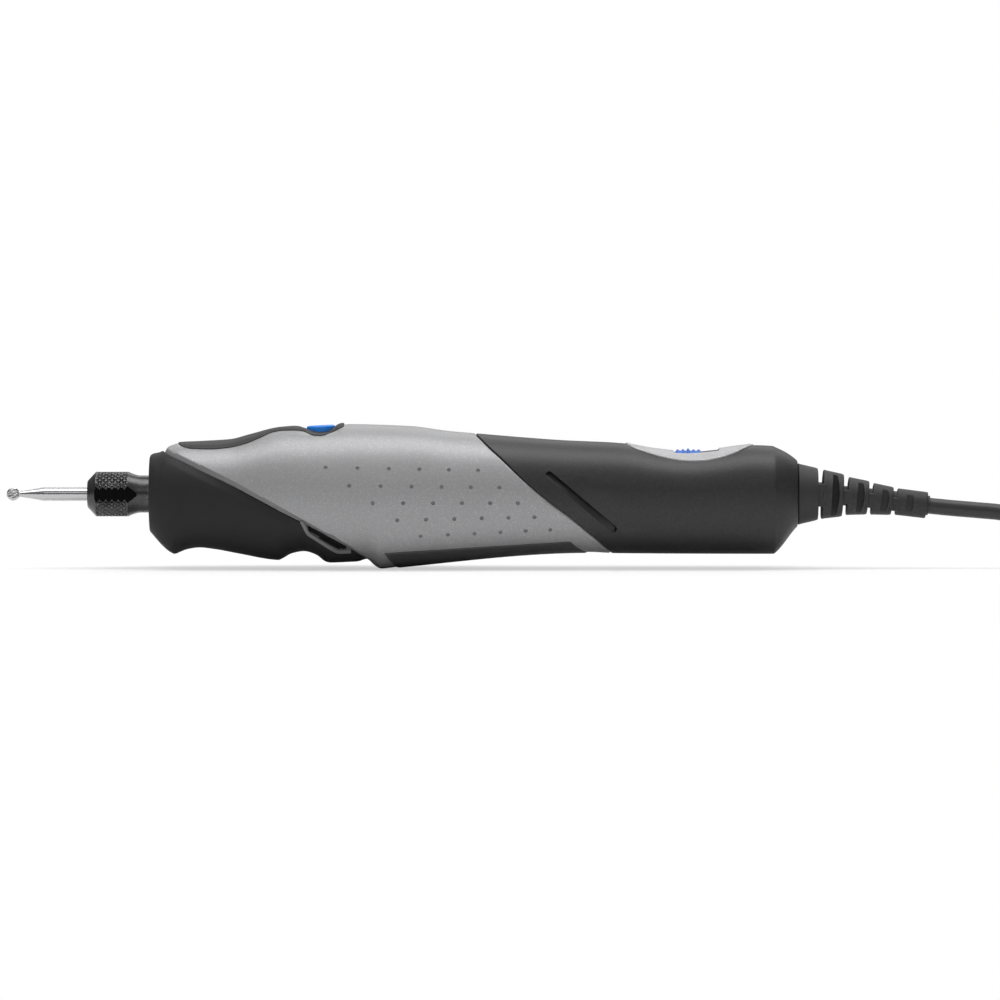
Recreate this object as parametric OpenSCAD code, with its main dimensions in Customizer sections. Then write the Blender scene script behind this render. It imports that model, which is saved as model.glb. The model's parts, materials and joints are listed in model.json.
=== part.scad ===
/* [Housing] */
// Height of the spindle axis above the resting plane
spindle_height = 17.5; // [17.5:0.1:20]
// Width of the housing against its height
width_ratio = 0.95; // [0.9:0.01:1]
// Gap between neighbouring housing pieces
seam_gap = 0.1; // [0.05:0.05:0.2]

/* [Chuck] */
// Diameter of the bit's shank
shank_d = 3.2; // [3:0.05:3.2]
// Outer diameter of the collet nut
nut_d = 10.5; // [10:0.1:10.6]
// Length of the bit that stands out of the nut
bit_reach = 19; // [14:0.5:30]
// Diameter of the ball on the bit
ball_d = 3.1; // [1.6:0.1:3.2]

/* [Drive] */
// Diameter of the spindle
spindle_d = 7; // [6.8:0.1:7]
// Diameter of the motor
motor_d = 24.4; // [22:0.2:24.4]
// Diameter of the motor's shaft
motor_shaft_d = 2.3; // [2:0.1:2.4]
// Number of notches in the lock wheel
lock_notches = 8; // [4:4:8]
// Number of blades on the fan
fan_blades = 9; // [5:1:11]

/* [Controls] */
// How far the lock button goes in
lock_travel = 2.2; // [1.8:0.1:2.3]
// How far the power slider moves
slider_travel = 3.8; // [2:0.1:4]

/* [Power lead] */
// Diameter of the cord
cord_d = 3.8; // [3.4:0.1:4]
// Diameter of the coil at the middle of its turns
coil_d = 40; // [39.5:0.1:41]
// Length of the adapter's casing
adapter_length = 50; // [46:1:54]
// Width of the adapter's casing
adapter_width = 34; // [30:1:36]
// Depth of the adapter's casing
adapter_depth = 26; // [24:1:30]
// Length of the adapter's blades
blade_length = 16; // [14:0.5:18]

/* [Hidden] */
$fn = 48;

// The tool is drawn with x behind the nose face and z above the spindle axis.
// Upper and lower outlines and half width of the housing at distances behind the nose.
top_line = [[0, 8.8], [0.5, 9.4], [2.4, 9.9], [4.7, 11.3], [7, 12], [12, 12.2], [19, 12.7], [23.5, 13.8],
            [30.5, 15.7], [35, 16.1], [37, 14.9], [39.6, 14.3], [42, 15], [45, 16.7], [52, 16.4],
            [61, 16], [70.5, 14.8], [77.5, 14.2], [87, 13.4], [96.5, 12.7], [110.5, 12],
            [119, 10.6], [126, 10], [133, 10.6], [141, 11.5], [146.6, 11.3], [151.6, 8.5], [152.2, 7.4]];
bottom_line = [[0, 8.6], [0.5, 9.3], [5.8, 14.1], [8.5, 13], [11.7, 12.6], [21, 14], [30.2, 15.5],
               [33, 14.2], [36, 13.5], [39, 14.4], [42, 16.1], [51, 16], [54.4, 17.5], [58, 17.1],
               [103, 13.6], [110, 13.9], [146.6, 14.1], [151.6, 8.3], [152.2, 7.4]];
side_line = [[0, 8.7], [0.5, 9.3], [4, 11.4], [8, 12.2], [19, 12.9], [30, 14.6], [40, 15.8], [55, 16.4],
             [70, 15.4], [87, 13.9], [96, 13.3], [110, 12.9], [141, 12.3], [146.6, 12.2], [151.6, 8.5],
             [152.2, 7.4]];
stations = [0.5, 2.4, 4.7, 5.8, 7, 8.5, 11.7, 15, 19, 21, 23.5, 27, 30.2, 33, 35, 36, 37, 39.6, 42, 45,
            48, 51, 54.4, 58, 61, 65.5, 70.5, 74, 77.5, 82, 87, 92, 96.5, 103, 110, 114.5, 119,
            122.5, 126, 129.5, 133, 137, 141, 146.6, 149, 151.6];
roundness = 2.2;
ring_step = 10;
body_end = 152.2;

// Seams of the housing in side view, drawn from top to bottom
front_seam = [[3.2, 9.7], [10.2, 6.7], [15.6, 4.5], [25.9, 0], [36.2, -6.3], [47.1, -12.8],
              [51, -15.7], [54.4, -18.5]];
rear_seam = [[74.9, 14.3], [86.6, 4], [95, -2.7], [107.4, -13.8]];
belly_edge = [[58.1, -16.9], [54.9, -13.7], [98.8, -11.3], [102.8, -13.6]];
strip_edge = [[6.7, 11.5], [10.2, 10.7], [18.3, 10.9], [22.8, 12], [29.2, 14.7], [33.5, 15.2], [36.2, 14.6],
              [39.7, 13.7], [42.1, 14.1], [45.7, 16.3]];
pad_edge = [[112, 12], [119.5, 9.1], [127, 7.8], [133, 8.5], [141.5, 12]];
vent_window = [[36.6, -6.7], [37.4, -8.6], [44.2, -13], [46.8, -12.9], [48.8, -12.9], [36.6, -5.5]];
grille_edge = [[36.85, -6.9], [37.6, -8.55], [44.3, -12.87], [46.4, -12.77]];
rear_vent = [[92.7, 4.8], [95.2, 4.8], [109.8, -8], [109.2, -8.9], [106.7, -7.6]];
far_out = 30;

// Screws through the halves, [behind the nose, above the axis]; the last two run in bosses
screw_places = [[30, 12.2], [48, 13.6], [87, -8], [143.5, -5.5]];
screw_r = 1;
screw_head_r = 1.6;
screw_head_h = 1.3;
screw_recess = 1;
boss_r = 2.2;

// Spindle and bearings
spindle_r = spindle_d / 2;
race_r = 4.4;
ring_r = 5.9;
bearing_r = 7;
bearing_w = 5;
bearing_seats = [3, 30];
ball_count = 8;
collar_r = 8.55;
fit = 0.05;

// Chuck
shank_r = shank_d / 2;
nut_r = nut_d / 2;
nut_front = -14.7;
nut_back = -2.4;
collet_r = 2.38;
ball_r = ball_d / 2;
ball_x = nut_front - bit_reach + ball_r;
bit_back = 3;

// Lock
lock_x = 40.2;
wheel_r = 6.8;
pin_r = 1.2;
pin_rest_z = 7.6;
button_z = 13.2;
button_top = 16.2;
button_r = 3.35;
button_gap = 0.3;
spring_floor = 9;
spring_r = 1.9;
wire_r = 0.22;
spring_turns = 4;

// Motor
motor_front = 52;
motor_back = 80;
motor_r = motor_d / 2;
motor_shaft_r = motor_shaft_d / 2;

// Slider
slider_x = 123.3;
slider_size = [6.3, 8];
slider_z = 9.1;

// Strain relief: start, end, end radii, drop and tilt of each segment, and the heights of the webs between
boot_segments = [[152.2, 156.6, 7.2, 6.1, 0, 0], [158.6, 162.5, 5.7, 5, -0.1, 3],
                 [164.4, 168.4, 4.4, 3.95, -0.5, 5], [170.2, 174.2, 3.65, 3.3, -1.15, 6.5],
                 [176, 182.4, 3.05, 3.1, -1.85, 7]];
boot_webs = [5.4, 3.4, 3.5, 3.2];
boot_core_r = 2.3;
boot_end = 182.8;

// Route of the cord from the strain relief to the coil, and from the coil to the adapter
cord_route = [[108, 0, 14.8], [114, 0, 14.2], [120, 0, 13.7], [126, -0.4, 13.1], [132, -1.5, 11.6],
              [138, -2.9, 9.4], [144, -4.5, 6.9], [150, -6.2, 4.6], [156, -8, 2.9], [161.5, -9.9, 2.2],
              [166.7, -11.9, 2.4]];
tail_route = [[186.7, -11.3, 13.9], [192.5, -8.4, 14], [198, -5, 14.6], [203, -1.4, 15.6], [207.5, 1.8, 16.6],
              [212, 3.5, 17]];
coil_place = [176, 10];
coil_lift = 0.5;
coil_rows = 4;
coil_columns = 3;
coil_in = coil_d / 2 - coil_columns * cord_d / 2;
coil_out = coil_d / 2 + coil_columns * cord_d / 2;
coil_height = coil_rows * cord_d;
tie_angle = 120;
tie_width = 9;
cord_sides = 8;

// Adapter, lying on its long side with its blades to the back
adapter_place = [226, -6.5];
adapter_wall = 2;
adapter_seam = 16;
adapter_round = 3;
relief_length = 14;

frame_x = (boot_end + nut_front - bit_reach) / 2;

module placed() translate([-frame_x, 0, spindle_height]) children();

// Turned shape about the spindle axis, from points [radius, distance behind the nose]
module turned(points) rotate([0, 90, 0]) rotate_extrude() polygon(points);
module tube_x(r, from, to) translate([from, 0, 0]) rotate([0, 90, 0]) cylinder(r = r, h = to - from);
// Prism across the tool from an outline in side view
module across(points) translate([0, far_out, 0]) rotate([90, 0, 0]) linear_extrude(2 * far_out) polygon(points);
module block(low, high) translate(low) cube(high - low);

// Closed surface through equal rings of points
module loft(rings) {
    n = len(rings[0]);
    last = len(rings) - 1;
    sides = [for (i = [0:last - 1], k = [0:n - 1]) let (a = i * n, b = a + n, j = (k + 1) % n)
             each [[b + k, b + j, a + j], [b + k, a + j, a + k]]];
    caps = [[for (k = [0:n - 1]) k], [for (k = [n - 1:-1:0]) last * n + k]];
    polyhedron([for (ring = rings, p = ring) p], concat(sides, caps), convexity = 6);
}

// Round tube along a route of points
function unit(v) = v / norm(v);
function heading(path, i) = unit(path[min(i + 1, len(path) - 1)] - path[max(i - 1, 0)]);
module swept(path, r, sides) loft([for (i = [0:len(path) - 1])
    let (t = heading(path, i), right = unit(cross([0, 0, 1], t)), up = cross(t, right))
    [for (k = [0:sides - 1]) path[i] + r * (cos(360 * k / sides) * right + sin(360 * k / sides) * up)]]);

// Section of the housing at x, drawn in by inset; from and to choose how much of the round is used
function curve(c) = sign(c) * pow(abs(c), 2 / roundness);
function section(x, inset, from, to) = [for (a = [from:ring_step:to])
    let (half = (lookup(x, side_line) * width_ratio - inset), c = curve(cos(a)), s = curve(sin(a)),
         rise = (s > 0 ? lookup(x, top_line) : lookup(x, bottom_line)) - inset,
         y = half * c)
    [x, from == 90 ? min(y, -seam_gap / 2) : from == -90 ? max(y, seam_gap / 2) : y, rise * s]];
function stops(x0, x1) = concat([x0], [for (x = stations) if (x > x0 + 0.2 && x < x1 - 0.2) x], [x1]);
function side_at(x, z) = let (h = z > 0 ? lookup(x, top_line) : lookup(x, bottom_line))
    lookup(x, side_line) * width_ratio * pow(1 - pow(abs(z) / h, roundness), 1 / roundness);

module whole_skin(x0, x1, inset = 0) loft([for (x = stops(x0, x1)) section(x, inset, 0, 359)]);
module left_skin(x0, x1) loft([for (x = stops(x0, x1)) section(x, 0, 90, 270)]);
module right_skin(x0, x1) loft([for (x = stops(x0, x1)) section(x, 0, -90, 90)]);

// Hollow inside the housing, turned about the spindle axis
module cavity() turned([[0, 1.5], [8.6, 1.5], [8.6, 36.3], [8.2, 36.4], [8.2, 43.5], [12.5, 44.5], [12.5, 85],
                        [10.6, 90], [10.6, 100], [8, 112], [8, 140], [7.6, 147.5], [3, 147.6], [3, 160], [0, 160]]);

module front_region() translate([-seam_gap, 0, 0])
    across(concat([[-5, 20], [3.2, 20]], front_seam, [[54.4, -25], [-5, -25]]));
module shell_region() across(concat([[3.2, 20]], front_seam, [[54.4, -25], [58.1, -25]], belly_edge,
    [[102.8, -25], [107.4, -25]], [for (i = [3:-1:0]) rear_seam[i]], [[74.9, 20]]));
module belly_region() translate([0, 0, -seam_gap]) across(concat([[58.1 + seam_gap, -25]],
    [[58.1 + seam_gap, -16.9], [54.9 + 2 * seam_gap, -13.7], [98.8, -11.3], [102.7, -13.6], [102.7, -25]]));
module strip_region(gap = 0) across(concat([[6.7 - gap, 20]], [for (p = strip_edge) p - [0, gap]],
    [[45.7 + gap, 20]]));
module rear_region() translate([seam_gap, 0, 0])
    across(concat([[74.9, 20]], rear_seam, [[107.4, -25], [160, -25], [160, 20]]));
module pad_region(gap = 0) across(concat([[112 - gap, 20]], [for (p = pad_edge) p - [0, gap]],
    [[141.5 + gap, 20]]));

// Room for the lock button, its spring and its pin
module lock_room() {
    translate([lock_x, 0, button_z - lock_travel - 0.2]) cylinder(r = button_r + button_gap, h = 10);
    translate([lock_x, 0, spring_floor]) cylinder(r = spring_r + wire_r + 0.3, h = 6);
    translate([lock_x, 0, 0]) cylinder(r = pin_r + 0.1, h = 12);
}

module screw_room() for (p = screw_places) {
    seat = side_at(p[0], p[1]) - screw_recess - screw_head_h;
    translate([p[0], 0, p[1]]) rotate([90, 0, 0]) cylinder(r = screw_r + fit, h = 26, center = true);
    translate([p[0], seat, p[1]]) rotate([-90, 0, 0]) cylinder(r = screw_head_r + fit, h = 10);
}
module boss(p, side) translate([p[0], side * seam_gap / 2, p[1]]) rotate([-side * 90, 0, 0])
    cylinder(r = boss_r, h = side_at(p[0], p[1]) - 1.5);

module front_grip() placed() color([0.1, 0.1, 0.105]) difference() {
    intersection() { whole_skin(0, 54.4); front_region(); }
    cavity();
    tube_x(5.2, -1, 2);
    across(vent_window);
}
module grey_shell(side) color([0.62, 0.63, 0.64]) difference() {
    union() {
        difference() {
            intersection() {
                if (side < 0) left_skin(3.2, 107.4); else right_skin(3.2, 107.4);
                shell_region();
            }
            cavity();
        }
        boss(screw_places[2], side);
    }
    strip_region();
    lock_room();
    screw_room();
}
module shell_left() placed() grey_shell(-1);
module shell_right() placed() grey_shell(1);
module top_strip() placed() color([0.33, 0.33, 0.34]) difference() {
    intersection() { whole_skin(6.7, 45.7); translate([0, 0, seam_gap]) strip_region(); }
    lock_room();
}
module belly_grip() placed() color([0.13, 0.13, 0.135]) difference() {
    intersection() { whole_skin(54.9, 102.8); belly_region(); }
    cavity();
}
module vent_grille(side) color([0.08, 0.08, 0.08]) difference() {
    intersection() {
        if (side < 0) left_skin(35, 48); else right_skin(35, 48);
        across(grille_edge);
    }
    cavity();
    for (i = [0:3]) translate([39 + 1.9 * i, side * 14.4, -9.6 - 0.95 * i]) rotate([0, 32, 0])
        cube([0.8, 7, 1.4], center = true);
}
module vent_grille_left() placed() vent_grille(-1);
module vent_grille_right() placed() vent_grille(1);
module stem_slot()
    block([slider_x + 1.2, -1.5, 0], [slider_x + slider_size[0] + slider_travel - 1.2, 1.5, 20]);
module rear_half(side) color([0.3, 0.3, 0.31]) difference() {
    union() {
        difference() {
            intersection() {
                if (side < 0) left_skin(74.9, body_end); else right_skin(74.9, body_end);
                rear_region();
            }
            cavity();
        }
        boss(screw_places[3], side);
    }
    pad_region();
    across(rear_vent);
    screw_room();
    stem_slot();
}
module rear_housing_left() placed() rear_half(-1);
module rear_housing_right() placed() rear_half(1);
module saddle_pad() placed() color([0.66, 0.67, 0.68]) difference() {
    intersection() { whole_skin(112, 141.5); translate([0, 0, seam_gap]) pad_region(); }
    cavity();
    block([slider_x - 0.3, -slider_size[1] / 2 - 0.3, slider_z - 0.2],
          [slider_x + slider_size[0] + slider_travel + 0.3, slider_size[1] / 2 + 0.3, 20]);
    stem_slot();
}
module housing_screws() placed() color([0.2, 0.2, 0.2]) for (p = screw_places) {
    seat = side_at(p[0], p[1]) - screw_recess - screw_head_h;
    translate([p[0], 0, p[1]]) difference() {
        union() {
            translate([0, -5, 0]) rotate([-90, 0, 0]) cylinder(r = screw_r, h = seat + 5.2);
            translate([0, seat, 0]) rotate([-90, 0, 0]) cylinder(r = screw_head_r, h = screw_head_h);
        }
        translate([0, seat + screw_head_h, 0]) cube([2, 1, 0.45], center = true);
        translate([0, seat + screw_head_h, 0]) cube([0.45, 1, 2], center = true);
    }
}

module cord_boot() placed() color([0.28, 0.28, 0.29]) {
    for (i = [0:4]) {
        s = boot_segments[i];
        length = (s[1] - s[0]) / cos(s[5]);
        translate([s[0], 0, s[4]]) rotate([0, s[5], 0]) difference() {
            rotate([0, 90, 0]) cylinder(r1 = s[2], r2 = s[3], h = length);
            if (i > 0) for (side = [-1, 1]) translate([length * 0.36, side * (boot_core_r + 2), 0])
                cube([1.7, 4, 1.3 * s[3]], center = true);
        }
    }
    for (i = [0:3]) {
        s = boot_segments[i];
        n = boot_segments[i + 1];
        gap = n[0] - s[1] + 1.2;
        translate([s[1] - 0.6, 0, (s[4] + n[4]) / 2]) rotate([0, n[5], 0]) {
            translate([0, -n[2] * 0.86, -boot_webs[i] / 2]) cube([gap, 2 * n[2] * 0.86, boot_webs[i]]);
            rotate([0, 90, 0]) cylinder(r = boot_core_r, h = gap);
        }
    }
    turned([[2, 148.2], [2.9, 148.2], [2.9, 152.3], [2, 152.3]]);
}

module nose_collar() placed() color([0.55, 0.55, 0.57]) turned([[4.8, 1.7], [collar_r, 1.7], [collar_r, 22],
    [6, 22], [6, 8.2], [bearing_r + 0.02, 8.1], [bearing_r + 0.02, 2.98], [4.8, 2.98]]);
module bearing_carrier() placed() color([0.55, 0.55, 0.57]) turned([[5, 27.5], [collar_r, 27.5],
    [collar_r, 36], [bearing_r + 0.02, 36], [bearing_r + 0.02, 29.98], [5, 29.98]]);
module bearing_outer(x) color([0.75, 0.75, 0.77])
    turned([[ring_r, x], [bearing_r, x], [bearing_r, x + bearing_w], [ring_r, x + bearing_w]]);
module bearing_inner(x) color([0.75, 0.75, 0.77]) turned([[spindle_r + 0.01, x], [race_r, x],
    [race_r, x + bearing_w], [spindle_r + 0.01, x + bearing_w]]);
module bearing_balls(x) color([0.85, 0.85, 0.86]) for (k = [0:ball_count - 1])
    rotate([360 * k / ball_count, 0, 0]) translate([x + bearing_w / 2, 0, (race_r + ring_r) / 2])
        sphere(r = (ring_r - race_r) / 2 - fit);
module front_bearing_outer() placed() bearing_outer(bearing_seats[0]);
module front_bearing_inner() placed() bearing_inner(bearing_seats[0]);
module front_bearing_balls() placed() bearing_balls(bearing_seats[0]);
module rear_bearing_outer() placed() bearing_outer(bearing_seats[1]);
module rear_bearing_inner() placed() bearing_inner(bearing_seats[1]);
module rear_bearing_balls() placed() bearing_balls(bearing_seats[1]);

module motor_can() placed() color([0.7, 0.7, 0.72]) difference() {
    turned([[motor_shaft_r + fit, motor_front - 1.5], [3, motor_front - 1.5], [3, motor_front],
            [motor_r, motor_front], [motor_r, motor_back], [motor_r - 0.8, motor_back],
            [motor_r - 0.8, motor_front + 1], [motor_shaft_r + fit, motor_front + 1]]);
    for (k = [0:3]) rotate([45 + 90 * k, 0, 0]) translate([motor_front, 0, 7])
        rotate([0, 90, 0]) cylinder(r = 1.4, h = 4, center = true);
}
module motor_end_cap() placed() color([0.15, 0.15, 0.16]) {
    turned([[motor_shaft_r + fit, motor_back + 0.1], [motor_r - 0.1, motor_back + 0.1],
            [motor_r - 0.1, motor_back + 2.6], [motor_shaft_r + fit, motor_back + 2.6]]);
    for (side = [-1, 1]) translate([motor_back + 3.2, side * 4, 0]) cube([1.6, 0.5, 3], center = true);
}
module magnets() placed() color([0.25, 0.25, 0.27]) difference() {
    turned([[9.4, 56], [motor_r - 0.85, 56], [motor_r - 0.85, 76], [9.4, 76]]);
    for (side = [-1, 1]) translate([66, 0, side * 10]) cube([24, 9, 8], center = true);
}
module motor_brushes() placed() color([0.3, 0.22, 0.14]) for (side = [-1, 1])
    translate([78.6, side * 4.6, 0]) cube([1.4, 3, 1.8], center = true);
module motor_shaft() placed() color([0.8, 0.8, 0.82]) tube_x(motor_shaft_r, 46.3, motor_back + 4);
module armature() placed() color([0.45, 0.45, 0.48]) difference() {
    turned([[motor_shaft_r, 57], [9, 57], [9, 75], [motor_shaft_r, 75]]);
    for (k = [0:4]) rotate([72 * k, 0, 0]) translate([66, 0, 7]) cube([20, 1.6, 6], center = true);
}
module windings() placed() color([0.72, 0.42, 0.18]) for (x = [54.3, 75.1])
    turned([[motor_shaft_r, x], [7.2, x], [7.2, x + 2.5], [motor_shaft_r, x + 2.5]]);
module commutator() placed() color([0.72, 0.42, 0.18])
    turned([[motor_shaft_r, 77.8], [3, 77.8], [3, 79.9], [motor_shaft_r, 79.9]]);
module cooling_fan() placed() color([0.2, 0.2, 0.22]) {
    turned([[5.02, 46.2], [6, 46.2], [6, 49.8], [5.02, 49.8]]);
    for (k = [0:fan_blades - 1]) rotate([360 * k / fan_blades, 0, 0]) translate([48, 0, 8.2])
        rotate([0, 0, 28]) cube([3.4, 0.7, 5.2], center = true);
}
module shaft_coupling() placed() color([0.5, 0.5, 0.52]) turned([[spindle_r, 43.7], [5, 43.7], [5, 50.3],
    [motor_shaft_r, 50.3], [motor_shaft_r, 46.2], [spindle_r, 46.2]]);
module spindle_shaft() placed() color([0.7, 0.7, 0.72]) turned([[collet_r + 0.04, -8.5], [spindle_r, -8.5],
    [spindle_r, -2.2], [4.3, -2.2], [4.3, 2.95], [spindle_r, 2.95], [spindle_r, 46.1], [0, 46.1], [0, 5],
    [collet_r + 0.04, 5]]);
module lock_wheel() placed() color([0.6, 0.6, 0.62]) difference() {
    turned([[spindle_r, 38.6], [wheel_r, 38.6], [wheel_r, 41.8], [spindle_r, 41.8]]);
    for (k = [0:lock_notches - 1]) rotate([360 * k / lock_notches, 0, 0]) translate([lock_x, 0, 7])
        cube([5, 2 * pin_r + 0.6, 4], center = true);
}

module collet() placed() color([0.78, 0.78, 0.8]) difference() {
    turned([[shank_r + 0.03, -13.2], [2, -13.2], [collet_r, -10.6], [collet_r, 4.6], [shank_r + 0.03, 4.6]]);
    for (k = [0:1]) rotate([90 * k + 45, 0, 0]) translate([-8, 0, 0]) cube([13, 0.45, 8], center = true);
}
module collet_nut() placed() color([0.22, 0.22, 0.23]) difference() {
    turned([[2.15, nut_front], [3.2, nut_front], [nut_r, -12.6], [nut_r, -5.5], [4.45, nut_back],
            [spindle_r + fit, nut_back], [spindle_r + fit, -9.9], [collet_r + 0.07, -10.5],
            [2.07, -13.2]]);
    for (side = [-1, 1]) translate([-9.2, side * (nut_r - 0.32 + 2), 0]) cube([7.3, 4, 12], center = true);
}
module bit() placed() color([0.82, 0.82, 0.84]) {
    translate([ball_x, 0, 0]) sphere(r = ball_r);
    turned([[0, ball_x], [0.65, ball_x], [0.65, ball_x + 1.6], [shank_r, ball_x + 7.2],
            [shank_r, bit_back - 0.4], [shank_r - 0.4, bit_back], [0, bit_back]]);
}

module lock_button() placed() color([0.05, 0.4, 0.75]) difference() {
    union() {
        translate([lock_x, 0, button_z]) cylinder(r = button_r, h = button_top - button_z - 0.4);
        translate([lock_x, 0, button_top - 0.4]) cylinder(r1 = button_r, r2 = button_r - 0.4, h = 0.4);
    }
    translate([lock_x, 0, button_top + 11.6]) sphere(r = 12);
    translate([lock_x, 0, 10]) cylinder(r = pin_r, h = 5);
}
module lock_pin() placed() color([0.75, 0.75, 0.77]) translate([lock_x, 0, pin_rest_z])
    cylinder(r = pin_r, h = 15 - pin_rest_z);
module lock_spring() placed() color([0.8, 0.8, 0.82]) {
    rise = button_z - spring_floor - 2 * wire_r;
    steps = spring_turns * 10;
    translate([lock_x, 0, spring_floor + wire_r]) swept([for (i = [0:steps])
        [spring_r * cos(36 * i), spring_r * sin(36 * i), rise * i / steps]], wire_r, 6);
}
module power_slider() placed() color([0.05, 0.4, 0.75]) difference() {
    union() {
        translate([slider_x, 0, 0]) intersection() {
            block([0, -slider_size[1] / 2, slider_z], [slider_size[0], slider_size[1] / 2, 11]);
            translate([0, 0, -1.5]) rotate([0, 90, 0]) cylinder(r = 12.1, h = 20, center = true, $fn = 96);
        }
        translate([slider_x + 1.7, -1.2, 6.8]) cube([3, 2.4, 2.6]);
    }
    for (k = [0:3]) translate([slider_x + 1 + 1.4 * k, -5, 10.1]) cube([0.5, 10, 2]);
}

module control_board() placed() color([0.1, 0.35, 0.2]) block([97, -7, -1.6], [137, 7, 0]);
module speed_switch() placed() color([0.35, 0.35, 0.37]) difference() {
    block([117, -3.2, 0.05], [137, 3.2, 6.6]);
    block([slider_x + 1, -1.5, 5], [slider_x + 5.4 + slider_travel, 1.5, 7]);
}
module capacitor() placed() color([0.15, 0.15, 0.35]) translate([99, 3.3, 3.2]) rotate([0, 90, 0])
    cylinder(r = 3.1, h = 10);
module power_transistor() placed() color([0.1, 0.1, 0.1]) {
    block([100, -5.2, 0.05], [104.5, -0.4, 7]);
    color([0.6, 0.6, 0.62]) block([104.5, -5.2, 0.05], [105.3, -0.4, 7]);
}
module motor_wires() placed() color([0.7, 0.1, 0.1]) for (side = [-1, 1])
    translate([motor_back + 4.1, side * 4, -0.8]) rotate([0, 90, 0])
        cylinder(r = 0.6, h = 97 - motor_back - 4.2);
module cord_clamp() placed() color([0.2, 0.2, 0.2]) difference() {
    block([141, -4.5, -3], [146, 4.5, 3]);
    tube_x(cord_d / 2 + 0.02, 140, 147);
}
module inner_cord() placed() color([0.12, 0.12, 0.12]) tube_x(cord_d / 2, 138.5, 152);

module cord() color([0.1, 0.1, 0.1]) swept(cord_route, cord_d / 2, cord_sides);
module cord_tail() color([0.1, 0.1, 0.1]) swept(tail_route, cord_d / 2, cord_sides);
module cord_coil() color([0.12, 0.12, 0.12]) translate([coil_place[0], coil_place[1], coil_lift])
    rotate_extrude($fn = 96) translate([coil_in, 0]) square([coil_out - coil_in, coil_height]);
module coil_tie() color([0.2, 0.2, 0.2]) translate([coil_place[0], coil_place[1], 0])
    rotate([0, 0, tie_angle]) difference() {
        block([coil_in - 1.8, -tie_width / 2, 0], [coil_out + 1, tie_width / 2, coil_height + 2 * coil_lift + 0.2]);
        block([coil_in - 1, -tie_width, coil_lift - 0.05],
              [coil_out + 0.3, tie_width, coil_height + coil_lift + 0.1]);
    }

// Rectangle with round corners
module soft_square(size, r) {
    translate([r, 0]) square([size[0] - 2 * r, size[1]]);
    translate([0, r]) square([size[0], size[1] - 2 * r]);
    for (x = [r, size[0] - r], y = [r, size[1] - r]) translate([x, y]) circle(r = r);
}
// Casing with its length along x, depth along y and width upright
module casing_form(inset) {
    size = [adapter_length - 2 * inset, adapter_depth - 2 * inset, adapter_width - 2 * inset];
    r = adapter_round - inset / 2;
    translate([adapter_place[0] + inset, adapter_place[1] + inset, inset]) intersection() {
        translate([0, size[1], 0]) rotate([90, 0, 0]) linear_extrude(size[1]) soft_square([size[0], size[2]], r);
        linear_extrude(size[2]) soft_square([size[0], size[1]], r);
    }
}
module casing_wall(from, to) difference() {
    casing_form(0);
    casing_form(adapter_wall);
    translate([adapter_place[0] - 5, adapter_place[1] - far_out + from, -5]) cube([80, far_out, 60]);
    translate([adapter_place[0] - 5, adapter_place[1] + to, -5]) cube([80, far_out, 60]);
}
module adapter_casing() color([0.1, 0.1, 0.1]) difference() {
    casing_wall(-1, adapter_seam - seam_gap);
    translate([adapter_place[0], adapter_place[1] + 10, adapter_width / 2]) rotate([0, 90, 0])
        cylinder(r = 2.2, h = 10, center = true);
}
module adapter_cover() color([0.1, 0.1, 0.1]) difference() {
    casing_wall(adapter_seam, adapter_depth + 1);
    for (side = [-1, 1]) translate([adapter_place[0] + 25, adapter_place[1] + adapter_depth,
        adapter_width / 2 + side * 6.35]) cube([6.5, 12, 1.6], center = true);
}
module adapter_transformer() color([0.6, 0.45, 0.25]) translate([adapter_place[0] + 12, adapter_place[1] + 5, 5]) {
    cube([24, 12, 24]);
    translate([5, -2.5, 5]) cube([14, 17, 14]);
}
module adapter_blades() color([0.8, 0.75, 0.55]) for (side = [-1, 1])
    translate([adapter_place[0] + 25 - 3.15, adapter_place[1] + adapter_depth - 5,
               adapter_width / 2 + side * 6.35 - 0.75]) cube([6.3, blade_length + 5, 1.5]);
module adapter_relief() color([0.12, 0.12, 0.12])
    translate([adapter_place[0] - relief_length, adapter_place[1] + 10, adapter_width / 2]) rotate([0, 90, 0]) {
        cylinder(r1 = cord_d / 2 + 0.5, r2 = 4, h = relief_length);
        cylinder(r = 2.1, h = relief_length + 4);
    }

front_grip();
shell_left();
shell_right();
top_strip();
belly_grip();
vent_grille_left();
vent_grille_right();
rear_housing_left();
rear_housing_right();
saddle_pad();
housing_screws();
cord_boot();
nose_collar();
bearing_carrier();
front_bearing_outer();
front_bearing_inner();
front_bearing_balls();
rear_bearing_outer();
rear_bearing_inner();
rear_bearing_balls();
motor_can();
motor_end_cap();
magnets();
motor_brushes();
motor_shaft();
armature();
windings();
commutator();
cooling_fan();
shaft_coupling();
spindle_shaft();
lock_wheel();
collet();
collet_nut();
bit();
lock_button();
lock_pin();
lock_spring();
power_slider();
control_board();
speed_switch();
capacitor();
power_transistor();
motor_wires();
cord_clamp();
inner_cord();
cord();
cord_coil();
coil_tie();
cord_tail();
adapter_casing();
adapter_cover();
adapter_transformer();
adapter_blades();
adapter_relief();
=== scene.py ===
import json
import math

import bmesh
import bpy
import numpy as np
from mathutils import Matrix, Vector


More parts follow.
